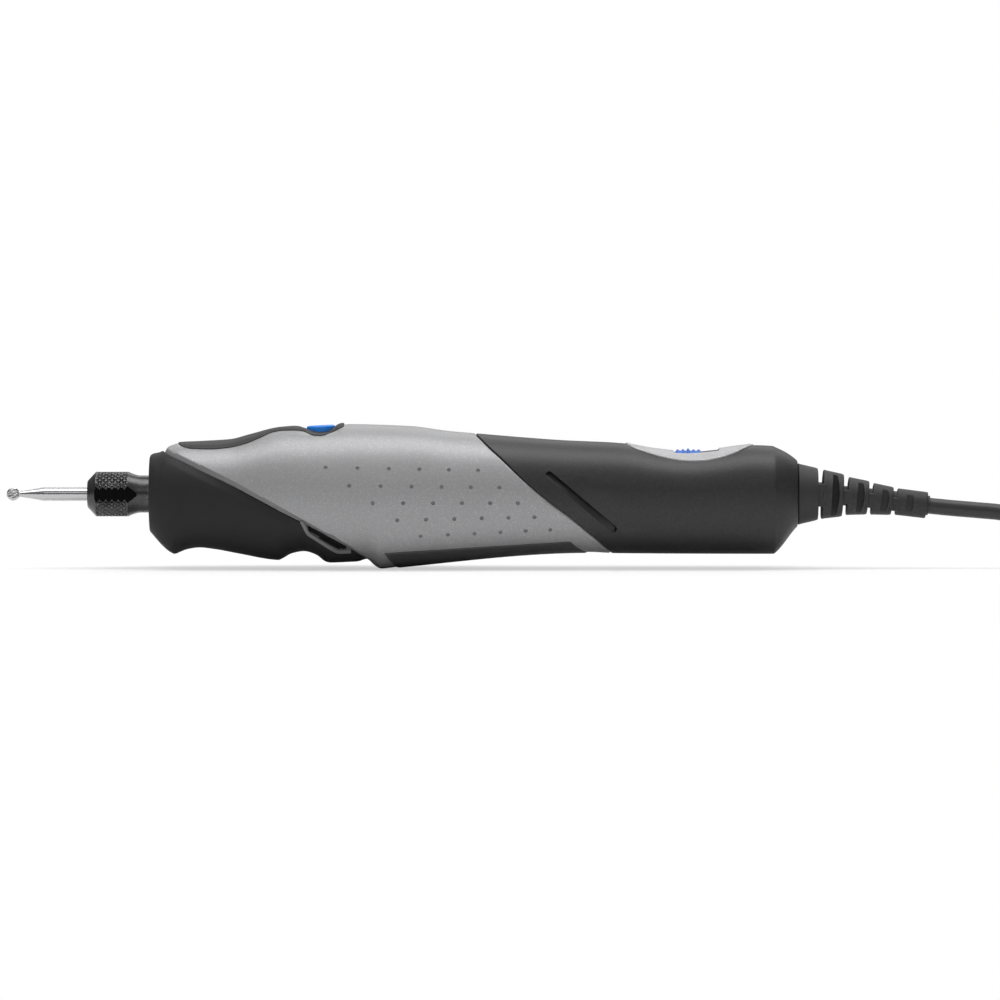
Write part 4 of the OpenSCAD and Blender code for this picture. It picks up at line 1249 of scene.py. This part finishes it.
def addBelly(look):
    share = np.concatenate([[0, 0.004, 0.012, 0.03], np.linspace(0.05, 0.95, 80), [0.97, 0.988, 0.996, 1]])
    across = nearEnds(36)
    topX = look["topFront"][0] + (look["topRear"][0] - look["topFront"][0]) * share
    topZ = look["topFront"][1] + (look["topRear"][1] - look["topFront"][1]) * share
    bottomX = look["bottomFront"] + (look["bottomRear"] - look["bottomFront"]) * share
    edgeAngle = angleAt(topX, topZ, 1)
    angle = -np.pi / 2 + (edgeAngle + np.pi / 2)[:, None] * across
    x = bottomX[:, None] + (topX - bottomX)[:, None] * np.abs(across) ** look["endCurve"]
    points, faces = shellGrid(x, angle, (look["round"],) * 4, look["thickness"], look["lift"], stride=2)
    addPiece("belly_inlay", points, faces, "belly_rubber", "root", ["belly_grip"], sharp=50)


addBelly(bellyLook)
print("strip and belly inlay ready")

# ---- rear housing halves with the slanted air slot

rearLook = {"thickness": 3.0, "seamRound": 0.18, "endRound": 0.3, "partingRound": 0.1,
            "slotTop": (93.75, 4.85), "slotBottom": (108.7, -7.8), "slotHalf": 0.84, "slotDeep": 1.2,
            "slotShallow": 0.3, "scoop": 0.34, "scoopReach": 9.0, "scoopBehind": 0.9, "scoopTop": 4.45,
            "scoopBottom": -8.3, "scoopEnds": 0.7, "track": (122.9, 133.8), "trackHalf": 4.4}


def slotCutter(look, side):
    # straight slot with round ends, cut square to the side and deeper along its front edge
    top, bottom = np.array(look["slotTop"]), np.array(look["slotBottom"])
    length, half = np.linalg.norm(bottom - top), look["slotHalf"]
    heading = (bottom - top) / length
    across = np.array([heading[1], -heading[0]])
    turns = np.linspace(0, math.pi / 2, 7)
    along = np.concatenate([-half * np.cos(turns), np.linspace(0, length, 18)[1:-1],
                            length + half * np.sin(turns)])
    inside = np.clip(along, 0, length)
    wide = np.sqrt(np.maximum(half ** 2 - (along - inside) ** 2, 0.0004))
    share = np.linspace(-1, 1, 7)
    place = top + along[:, None, None] * heading + (wide[:, None] * share)[..., None] * across
    x, z = place[..., 0], place[..., 1]
    surfaceY = skinPoint(x, angleAt(x, z, side))[..., 1]
    depth = look["slotDeep"] + (look["slotShallow"] - look["slotDeep"]) * (share + 1) / 2
    floor = np.stack([x, surfaceY - side * depth, z], -1)
    outside = np.stack([x, np.full_like(x, side * pastSide), z], -1)
    return np.concatenate([floor.reshape(-1, 3), outside.reshape(-1, 3)]), slabFaces(*x.shape)


def addRear(look):
    top, bottom = np.array(look["slotTop"]), np.array(look["slotBottom"])

    def bump(points, distances):
        # shallow scoop behind the slot that runs out towards the rear
        slope = (bottom[0] - top[0]) / (bottom[1] - top[1])
        behind = points[..., 0] - (top[0] + (points[..., 2] - top[1]) * slope) - look["scoopBehind"]
        fade = 1 - smoothStep(behind / look["scoopReach"])
        fromEnd = np.minimum(look["scoopTop"] - points[..., 2], points[..., 2] - look["scoopBottom"])
        ends = smoothStep(fromEnd / look["scoopEnds"])
        return look["scoop"] * fade * ends * smoothStep((behind + 0.6) / 0.6)

    for side, label in ((-1, "left"), (1, "right")):
        gap = halfGap / 12
        angle = np.concatenate([[np.pi / 2 + gap, np.pi / 2 + gap * 2.5], np.radians(np.arange(92, 269, 1.5)),
                                [1.5 * np.pi - gap * 2.5, 1.5 * np.pi - gap]])
        if side > 0:
            angle = (np.pi - angle)[::-1]
        start = onSeam(rearSeam, angle, 85.0) + halfGap
        end = np.full_like(start, skin["end"])
        share = stations(62.0, 0.36, 0.5, 0.5)
        x = start + (end - start) * share[:, None]
        around = np.ones((len(share), 1)) * angle
        rounds = (look["seamRound"], look["endRound"], look["partingRound"], look["partingRound"])
        points, faces = shellGrid(x, around, rounds, look["thickness"], bump=bump)
        rear = addPiece(f"rear_casing_{label}", points, faces, "rear_plastic", "root",
                        [f"rear_housing_{label}"])
        cutters = [cutterObject(*slotCutter(look, side))]
        low, high = look["track"]
        track = prism([(low, 6), (high, 6), (high, 14), (low, 14)], -look["trackHalf"], look["trackHalf"])
        cutters.append(cutterObject(*track))
        if side > 0:
            cutters += screwPockets(screwLook, screwLook["rearPlaces"])
        carve(rear, cutters)


addRear(rearLook)

# ---- saddle pad: light crescent over the dished top of the rear housing

padLook = {"thickness": 1.1, "lift": 0.3, "round": 0.35, "endRound": 0.3, "line": 0.12, "lineIn": 1.15,
           "lineWidth": 0.35, "recess": (123.0, 133.7), "recessHalf": 4.25, "recessFloor": 8.0,
           "edge": [(111.6, 11.95), (113.2, 11.05), (116, 10.05), (119.5, 9.0), (123, 8.25), (126.5, 7.9),
                    (130, 8.0), (133.5, 8.6), (137, 9.7), (140, 11.0), (141.8, 11.55)]}


def addPad(look):
    x, angle = overlayGrid(look["edge"], 110, nearEnds(36))

    def bump(points, distances):
        fromEdge = np.minimum(distances[2], distances[3])
        return look["line"] * smoothStep((fromEdge - look["lineIn"]) / look["lineWidth"])

    rounds = (look["endRound"], look["endRound"], look["round"], look["round"])
    points, faces = shellGrid(x, angle, rounds, look["thickness"], look["lift"], bump, stride=2)
    pad = addPiece("saddle_plate", points, faces, "pad_plastic", "root", ["saddle_pad"], sharp=50)
    low, high = look["recess"]
    half = look["recessHalf"]
    recess = roundedCorners([(low, -half), (high, -half), (high, half), (low, half)], 0.8)
    cutter, faces = prism(recess, look["recessFloor"], pastSide)
    carve(pad, [cutterObject(np.stack([cutter[:, 0], cutter[:, 2], cutter[:, 1]], -1), faces)], sharp=50)


addPad(padLook)
print("rear casing and saddle ready")

# ---- controls

buttonLook = {"bottom": 13.2, "top": 16.15, "radius": 3.35, "round": 0.5, "dish": 0.7, "lean": 0.045}


def addButton(look):
    rim = look["radius"] - look["round"]
    profile = [(look["bottom"], 0.01), (look["bottom"], look["radius"])]
    for step in range(7):
        turn = math.pi / 2 * step / 6
        height = look["top"] - look["round"] * (1 - math.sin(turn))
        profile.append((height, rim + look["round"] * math.cos(turn)))
    for step in range(1, 13):
        share = 1 - step / 12
        profile.append((look["top"] - look["dish"] * (1 - share ** 2), max(rim * share, 0.01)))
    points, faces = turned(profile, 72, None, (buttonAt, 0), "z")
    upper = smoothStep((points[:, 2] - look["bottom"] - 0.6) / 1.2)
    points[:, 2] += upper * (points[:, 0] - buttonAt) * look["lean"]
    addPiece("lock_cap", points, faces, "button_blue", "lock", ["lock_button"])


addButton(buttonLook)

springLook = {"bottom": 9.0, "top": 13.2, "radius": 1.9, "wire": 0.22, "turns": 5, "closedTurns": 0.8,
              "travel": 2.25}


def addSpring(look):
    # compression spring with closed ends
    closed = 2.1 * look["wire"] * look["closedTurns"]
    low, high = look["bottom"] + look["wire"], look["top"] - look["wire"]
    route = []
    for step in range(look["turns"] * 12 + 1):
        turn = step / 12
        height = np.interp(turn, [0, look["closedTurns"], look["turns"] - look["closedTurns"], look["turns"]],
                           [low, low + closed, high - closed, high])
        angle = 2 * math.pi * turn
        route.append((buttonAt + look["radius"] * math.cos(angle), look["radius"] * math.sin(angle), height))
    points, faces = tubeAlong([Vector(point) for point in route], look["wire"], 10)
    spring = addPiece("press_spring", points, faces, "spring_steel", "root", ["lock_spring"], sharp=50)
    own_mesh(spring)


addSpring(springLook)

sliderLook = {"start": 123.35, "end": 129.55, "half": 3.95, "bottom": 9.12, "side": 9.55, "crown": 10.2,
              "ribs": 5, "rib": 0.34, "middleRib": 0.62, "stem": (125, 128, 1.2, 6.8)}


def addSlider(look):
    length = look["end"] - look["start"]
    t = np.concatenate([[0, 0.01, 0.03], np.linspace(0.05, 0.95, 61), [0.97, 0.99, 1]])
    v = np.concatenate([[-1, -0.99, -0.96], np.linspace(-0.92, 0.92, 33), [0.96, 0.99, 1]])
    tt, vv = np.meshgrid(t, v, indexing="ij")
    rib = 0.5 - 0.5 * np.cos(2 * np.pi * look["ribs"] * tt)
    tall = look["rib"] + (look["middleRib"] - look["rib"]) * np.exp(-((tt - 0.45) / 0.12) ** 2)
    height = look["side"] + (look["crown"] - look["side"]) * (1 - vv ** 2)
    height += rib ** 1.5 * tall * (1 - 0.5 * vv ** 2)
    border = np.minimum(np.minimum(tt, 1 - tt) * length, (1 - np.abs(vv)) * look["half"])
    height -= 0.3 * (1 - smoothStep(border / 0.35))
    height = np.maximum(height, look["bottom"] + 0.02)
    top = np.stack([look["start"] + tt * length, vv * look["half"], height], -1).reshape(-1, 3)
    rows, columns = tt.shape
    base = top.copy()
    base[:, 2] = look["bottom"]
    size = rows * columns
    faces = gridFaces(rows, columns)
    ring = gridBorder(rows, columns)
    faces += [(a, b, b + size, a + size) for a, b in zip(ring, ring[1:] + ring[:1])]
    faces.append(tuple(index + size for index in ring))
    points = np.concatenate([top, base])
    used = sorted({index for face in faces for index in face})
    renumber = {index: k for k, index in enumerate(used)}
    points, faces = points[used], [tuple(renumber[index] for index in face) for face in faces]
    x0, x1, half, low = look["stem"]
    stem = prism([(x0, low), (x1, low), (x1, look["bottom"] + 0.1), (x0, look["bottom"] + 0.1)], -half, half)
    points, faces = merged([(points, faces), stem])
    # the slider takes the darker copy of the blue: painted shade
    addPiece("slider_cap", points, faces, "button_blue", "slider", ["power_slider"], paints=[sliderBluePaintedShade])


addSlider(sliderLook)
print("controls ready")

# ---- chuck: knurled nut and fluted ball bit

nutLook = {"front": -14.65, "frontRadius": 3.15, "chamferEnd": -12.6, "knurlEnd": -5.1, "taperEnd": -2.3,
           "back": 0.8, "radius": 5.25, "backRadius": 4.36, "bore": 2.15, "boreEnd": -13.0,
           "insideRadius": 3.6, "insideEnd": -9.9, "coneEnd": (-10.5, 2.5), "flat": 4.86, "flatBack": 4.42,
           "flatEnd": -2.7, "knurl": 0.3, "knurlPitch": 1.45, "knurlCount": 23}


def addNut(look):
    def triangle(value):
        return np.abs((value % 1) * 2 - 1)

    def flatDistance(along):
        share = np.clip((along - look["knurlEnd"]) / (look["flatEnd"] - look["knurlEnd"]), 0, 1)
        return look["flat"] + (look["flatBack"] - look["flat"]) * share

    def bump(along, radius, angle):
        turn = angle / (2 * np.pi) * look["knurlCount"]
        lift = along / look["knurlPitch"]
        diamond = np.minimum(triangle(turn + lift), triangle(turn - lift))
        ends = smoothStep((along - look["chamferEnd"]) / 0.5) * smoothStep((look["knurlEnd"] - along) / 0.5)
        outside = radius > look["radius"] - 0.05
        radius = radius - look["knurl"] * (1 - np.minimum(diamond * 1.8, 1)) * ends * outside
        flatLimit = flatDistance(along) / np.maximum(np.abs(np.cos(angle)), 1e-3)
        return np.where(along > look["front"] + 0.3, np.minimum(radius, flatLimit), radius)

    front, frontRadius = look["front"], look["frontRadius"]
    profile = [(look["boreEnd"], look["bore"]), (front + 0.12, look["bore"]), (front, look["bore"] + 0.15),
               (front, frontRadius - 0.15), (front + 0.08, frontRadius)]
    for k in range(1, 9):
        along = front + 0.1 + (look["chamferEnd"] - front - 0.15) * k / 8
        profile.append((along, frontRadius + 0.05 + (look["radius"] - frontRadius - 0.07) * k / 8))
    profile += [(x, look["radius"]) for x in np.linspace(look["chamferEnd"], look["knurlEnd"], 72)]
    for k in range(1, 15):
        share = k / 14
        radius = look["backRadius"] + (look["radius"] - look["backRadius"]) * (1 - share) ** 1.5
        profile.append((look["knurlEnd"] + (look["taperEnd"] - look["knurlEnd"]) * share, radius))
    profile += [(look["back"] - 0.15, look["backRadius"]), (look["back"], look["backRadius"] - 0.15),
                (look["back"], look["insideRadius"]), (look["insideEnd"], look["insideRadius"]),
                look["coneEnd"]]
    points, faces = ringTurned(profile, 312, bump)
    # faces on the two flats take the near-black paint: painted dark reflection
    centres = np.array([points[list(face)].mean(0) for face in faces])
    radial = np.hypot(centres[:, 1], centres[:, 2])
    reach = flatDistance(centres[:, 0])
    onFlat = (np.abs(np.abs(centres[:, 1]) - reach) < 0.02) & (radial > reach - 0.01)
    addPiece("knurled_nut", points, faces, "nut_oxide", "nut", ["collet_nut"], sharp=28,
             paints=[nutOxide, nutFlatPaintedReflection], faceSlots=[int(flag) for flag in onFlat])


addNut(nutLook)

bitLook = {"ballAt": -32.15, "ballRadius": 1.55, "neck": 0.65, "neckEnd": -30.55, "coneEnd": -25.0,
           "shank": 1.6, "rear": 3.0, "flutes": 10, "fluteDepth": 0.22, "twist": 0.55}


def addBit(look):
    def bump(along, radius, angle):
        onBall = (along < look["neckEnd"] - 0.1) & (radius > look["neck"] * 0.3)
        turn = angle * look["flutes"] / (2 * np.pi) + (along - look["ballAt"]) * look["twist"]
        groove = (0.5 + 0.5 * np.cos(2 * np.pi * turn)) ** 2
        return np.where(onBall, radius * (1 - look["fluteDepth"] * groove), radius)

    profile = []
    for step in range(27):
        turn = math.pi * step / 26
        radius = look["ballRadius"] * math.sin(turn)
        along = look["ballAt"] - look["ballRadius"] * math.cos(turn)
        if along > look["ballAt"] and radius < look["neck"]:
            break
        profile.append((along, max(radius, 0.01)))
    profile.append((look["neckEnd"] - 0.05, look["neck"]))
    for step in range(13):
        share = step / 12
        radius = look["neck"] + (look["shank"] - look["neck"]) * share ** 1.1
        profile.append((look["neckEnd"] + (look["coneEnd"] - look["neckEnd"]) * share, radius))
    profile += [(look["coneEnd"] + 0.3, look["shank"]), (look["rear"] - 0.4, look["shank"]),
                (look["rear"], look["shank"] - 0.4), (look["rear"], 0.01)]
    points, faces = turned(profile, 120, bump)
    addPiece("ball_burr", points, faces, "bit_steel", "bit", ["bit"], sharp=40)


addBit(bitLook)
print("nut and bit ready")

# ---- strain relief: rings with side windows, joined by side webs round the cord

bootLook = {"segments": [(152.2, 156.9, 7.2, 6.1, 0, 0), (157.9, 162.8, 5.8, 5.0, -0.05, 3),
                         (163.8, 168.7, 4.5, 3.95, -0.45, 5), (169.6, 174.4, 3.75, 3.3, -1.1, 6.5),
                         (175.3, 182.5, 3.15, 3.1, -1.75, 7)],
            "webs": [5.4, 3.4, 3.5, 3.2], "webRound": 0.32, "round": 0.35, "firstRound": 0.25,
            "windowAt": 0.62, "lastWindowAt": 0.43, "windowWidth": 1.8, "windowTall": 0.92, "core": 2.3,
            "coreRoute": [(152, 0, 0), (157, 0, -0.02), (162, 0, -0.3), (168, 0, -0.85), (175, 0, -1.6),
                          (183, 0, -2.7)]}


def tilted(points, start, drop, tilt):
    turn = math.radians(tilt)
    x, z = points[:, 0] - start, points[:, 2]
    return np.stack([start + x * math.cos(turn) + z * math.sin(turn), points[:, 1],
                     drop + z * math.cos(turn) - x * math.sin(turn)], -1)


def roundedRing(start, length, first, last, rounding):
    profile = [(start, 0.01)]
    for step in range(6):
        turn = math.pi / 2 * step / 5
        along = start + rounding * (1 - math.cos(turn))
        profile.append((along, first - rounding * (1 - math.sin(turn))))
    for share in np.linspace(0.15, 0.85, 8):
        profile.append((start + length * share, first + (last - first) * share))
    for step in range(6):
        turn = math.pi / 2 * (1 - step / 5)
        along = start + length - rounding * (1 - math.cos(turn))
        profile.append((along, last - rounding * (1 - math.sin(turn))))
    profile.append((start + length, 0.01))
    return profile


def roundedBlock(low, high, rounding):
    build = bmesh.new()
    bmesh.ops.create_cube(build, size=1)
    size, middle = np.array(high) - np.array(low), (np.array(high) + np.array(low)) / 2
    for vertex in build.verts:
        vertex.co = Vector(np.array(vertex.co) * size + middle)
    bmesh.ops.bevel(build, geom=build.edges[:], offset=rounding, segments=4, profile=0.5, affect="EDGES")
    build.verts.index_update()
    points = np.array([vertex.co[:] for vertex in build.verts])
    faces = [tuple(vertex.index for vertex in face.verts) for face in build.faces]
    build.free()
    return points, faces


def addBoot(look):
    parts, cutters = [], []
    for k, (start, end, first, last, drop, tilt) in enumerate(look["segments"]):
        length = (end - start) / math.cos(math.radians(tilt))
        rounding = look["round"] if k else look["firstRound"]
        points, faces = turned(roundedRing(start, length, first, last, rounding), 80)
        parts.append((tilted(points, start, drop, tilt), faces))
        if k:
            lastSegment = k == len(look["segments"]) - 1
            middle = start + length * look["lastWindowAt" if lastSegment else "windowAt"]
            half, tall = look["windowWidth"] / 2, (first + last) / 2 * look["windowTall"]
            lens = []
            for turn in np.linspace(-0.5, 0.5, 9):
                lens.append((middle - half + half * 0.3 * (1 - math.cos(turn * 2)), 2 * tall * turn))
            for turn in np.linspace(0.5, -0.5, 9):
                lens.append((middle + half + half * 1.6 * (math.cos(turn * 2) - 1), 2 * tall * turn))
            for low, high in ((-12, -look["core"] - 0.1), (look["core"] + 0.1, 12)):
                cut, cutFaces = prism(lens, low, high)
                cutters.append(cutterObject(tilted(cut, start, drop, tilt), cutFaces))
    points, faces = merged(parts)
    boot = addPiece("strain_relief", points, faces, "boot_rubber", "root", ["cord_boot"], sharp=40)
    carve(boot, cutters, sharp=40)
    webs = []
    for k, tall in enumerate(look["webs"]):
        here, ahead = look["segments"][k], look["segments"][k + 1]
        low, high = here[1] - 0.7, ahead[0] + 0.8
        middle = (here[4] + ahead[4]) / 2 - 0.25 * k
        for side in (-1, 1):
            inner, outer = look["core"] * 0.9, ahead[2] * 0.97
            ends = sorted((side * inner, side * outer))
            points, faces = roundedBlock((low, ends[0], -tall / 2), (high, ends[1], tall / 2),
                                         look["webRound"])
            webs.append((tilted(points, low, middle, ahead[5]), faces))
    core = tubeAlong([Vector(point) for point in look["coreRoute"]], look["core"])
    points, faces = merged(webs + [core])
    addPiece("strain_relief_webs", points, faces, "boot_rubber", "root", sharp=40)


addBoot(bootLook)
print("strain relief ready")

# ---- coil tie and adapter, in row metres

tieLook = {"angle": 120, "width": 0.009, "thick": 0.0009, "round": 0.0022, "gap": 0.0003, "bottom": 0.0004,
           "sag": 0.0001}


def addTie(look):
    # flat strap round one side of the coil
    low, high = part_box("cord_coil")
    middle = (low + high) / 2
    outside = (high.x - low.x) / 2
    inside = outside - cordLook["columns"] * cordLook["diameter"]
    gap = look["gap"]
    bottom, top = look["bottom"], high.z + gap
    corners = [(inside - gap, bottom), (outside + gap, bottom), (outside + gap, top), (inside - gap, top)]
    path = roundedCorners(corners, look["round"], 7)
    turn = math.radians(look["angle"])
    along, across = Vector((math.cos(turn), math.sin(turn), 0)), Vector((-math.sin(turn), math.cos(turn), 0))
    centre = Vector((middle.x, middle.y, 0))
    count = len(path)
    widths = np.linspace(-1, 1, 9)
    layers = []
    for thickness in (0.0, look["thick"]):
        ring = []
        for k, (r, z) in enumerate(path):
            back, ahead = np.array(path[k - 1]), np.array(path[(k + 1) % count])
            heading = (ahead - back) / np.linalg.norm(ahead - back)
            out = np.array([heading[1], -heading[0]]) * thickness
            for w in widths:
                sag = look["sag"] * math.cos(w * 3.1)
                place = centre + along * (r + out[0]) + across * (w * look["width"] / 2)
                ring.append((place.x, place.y, max(z + out[1] + sag * (thickness > 0), 0.0001)))
        layers.append(ring)
    size, wide = count * len(widths), len(widths)
    points = layers[0] + layers[1]
    faces = []
    for k in range(count):
        ahead = (k + 1) % count
        for w in range(wide - 1):
            quad = (k * wide + w, k * wide + w + 1, ahead * wide + w + 1, ahead * wide + w)
            faces += [quad, tuple(index + size for index in quad)]
        for w in (0, wide - 1):
            faces.append((k * wide + w, ahead * wide + w, ahead * wide + w + size, k * wide + w + size))
    return addPiece("coil_strap", points, faces, "tie_fabric", "root", ["coil_tie"], inMetres=True)


coilStrap = addTie(tieLook)

adapterLook = {"round": 0.0028, "seamGap": 0.0003, "seamRound": 0.0005, "reliefRings": 5,
               "bladeWidth": 0.0063, "bladeThick": 0.0015, "bladeGap": 0.0127, "bladeTip": 0.0012,
               "bladeHole": 0.0014, "holeIn": 0.0035}


def addAdapter(look):
    low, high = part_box("adapter_casing")
    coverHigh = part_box("adapter_cover")[1]
    seam = high.y
    pieces = []
    full = roundedBlock((low.x, low.y, low.z), (high.x, coverHigh.y, high.z), look["round"])
    for label, keepBelow, node in (("adapter_body", True, "adapter_casing"),
                                   ("adapter_face", False, "adapter_cover")):
        build = bmesh.new()
        vertices = [build.verts.new(point) for point in full[0]]
        for face in full[1]:
            build.faces.new([vertices[k] for k in face])
        plane = Vector((0, seam + look["seamGap"] / (-2 if keepBelow else 2), 0))
        geometry = build.verts[:] + build.edges[:] + build.faces[:]
        cut = bmesh.ops.bisect_plane(build, geom=geometry, plane_co=plane, plane_no=(0, 1, 0),
                                     clear_outer=keepBelow, clear_inner=not keepBelow)
        edges = [item for item in cut["geom_cut"] if isinstance(item, bmesh.types.BMEdge)]
        filled = bmesh.ops.contextual_create(build, geom=edges)["faces"]
        bmesh.ops.inset_region(build, faces=filled, thickness=look["seamRound"], depth=look["seamGap"] / 3)
        build.verts.index_update()
        points = [tuple(vertex.co) for vertex in build.verts]
        faces = [tuple(vertex.index for vertex in face.verts) for face in build.faces]
        build.free()
        piece = addPiece(label, points, faces, "adapter_plastic", "root", [node], inMetres=True)
        pieces.append(piece)
    bladesLow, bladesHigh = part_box("adapter_blades")
    middle = (bladesLow + bladesHigh) / 2
    parts = []
    for side in (-1, 1):
        half, tip = look["bladeWidth"] / 2, look["bladeTip"]
        shoulder = bladesHigh.y - tip * 1.6
        left, right = middle.x - half, middle.x + half
        outline = [(left, bladesLow.y), (right, bladesLow.y), (right, shoulder), (right - tip, bladesHigh.y),
                   (left + tip, bladesHigh.y), (left, shoulder)]
        z = middle.z + side * look["bladeGap"] / 2
        flat, faces = prism(outline, z - look["bladeThick"] / 2, z + look["bladeThick"] / 2)
        parts.append((np.stack([flat[:, 0], flat[:, 2], flat[:, 1]], -1), faces))
    points, faces = merged(parts)
    blades = addPiece("plug_blades", points, faces, "blade_brass", "root", ["adapter_blades"], inMetres=True)
    holes = []
    for side in (-1, 1):
        z = middle.z + side * look["bladeGap"] / 2
        drill, faces = turned([(z - 0.003, look["bladeHole"]), (z + 0.003, look["bladeHole"])], 32, None,
                              (middle.x, bladesHigh.y - look["holeIn"]), "z")
        holes.append(cutterObject(toTool(drill), faces))
    carve(blades, holes)
    pieces.append(blades)
    reliefLow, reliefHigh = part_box("adapter_relief")
    centre = (reliefLow + reliefHigh) / 2
    length = low.x - reliefLow.x
    profile = [(reliefLow.x, 0.0005), (reliefLow.x, 0.0021), (reliefLow.x + 0.0003, 0.0024)]
    for step in range(40):
        share = 0.04 + 0.92 * step / 39
        ring = 0.5 - 0.5 * math.cos(2 * math.pi * look["reliefRings"] * share)
        profile.append((reliefLow.x + length * share, 0.0025 + 0.0014 * share - 0.00045 * ring ** 2))
    profile += [(low.x + 0.0006, 0.004), (low.x + 0.002, 0.0039), (low.x + 0.002, 0.0005)]
    points, faces = turned(profile, 48, None, (centre.y, centre.z))
    pieces.append(addPiece("adapter_sleeve", points, faces, "cord_jacket", "root", ["adapter_relief"],
                           inMetres=True))
    return pieces


adapterPieces = addAdapter(adapterLook)
print("tie and adapter ready")
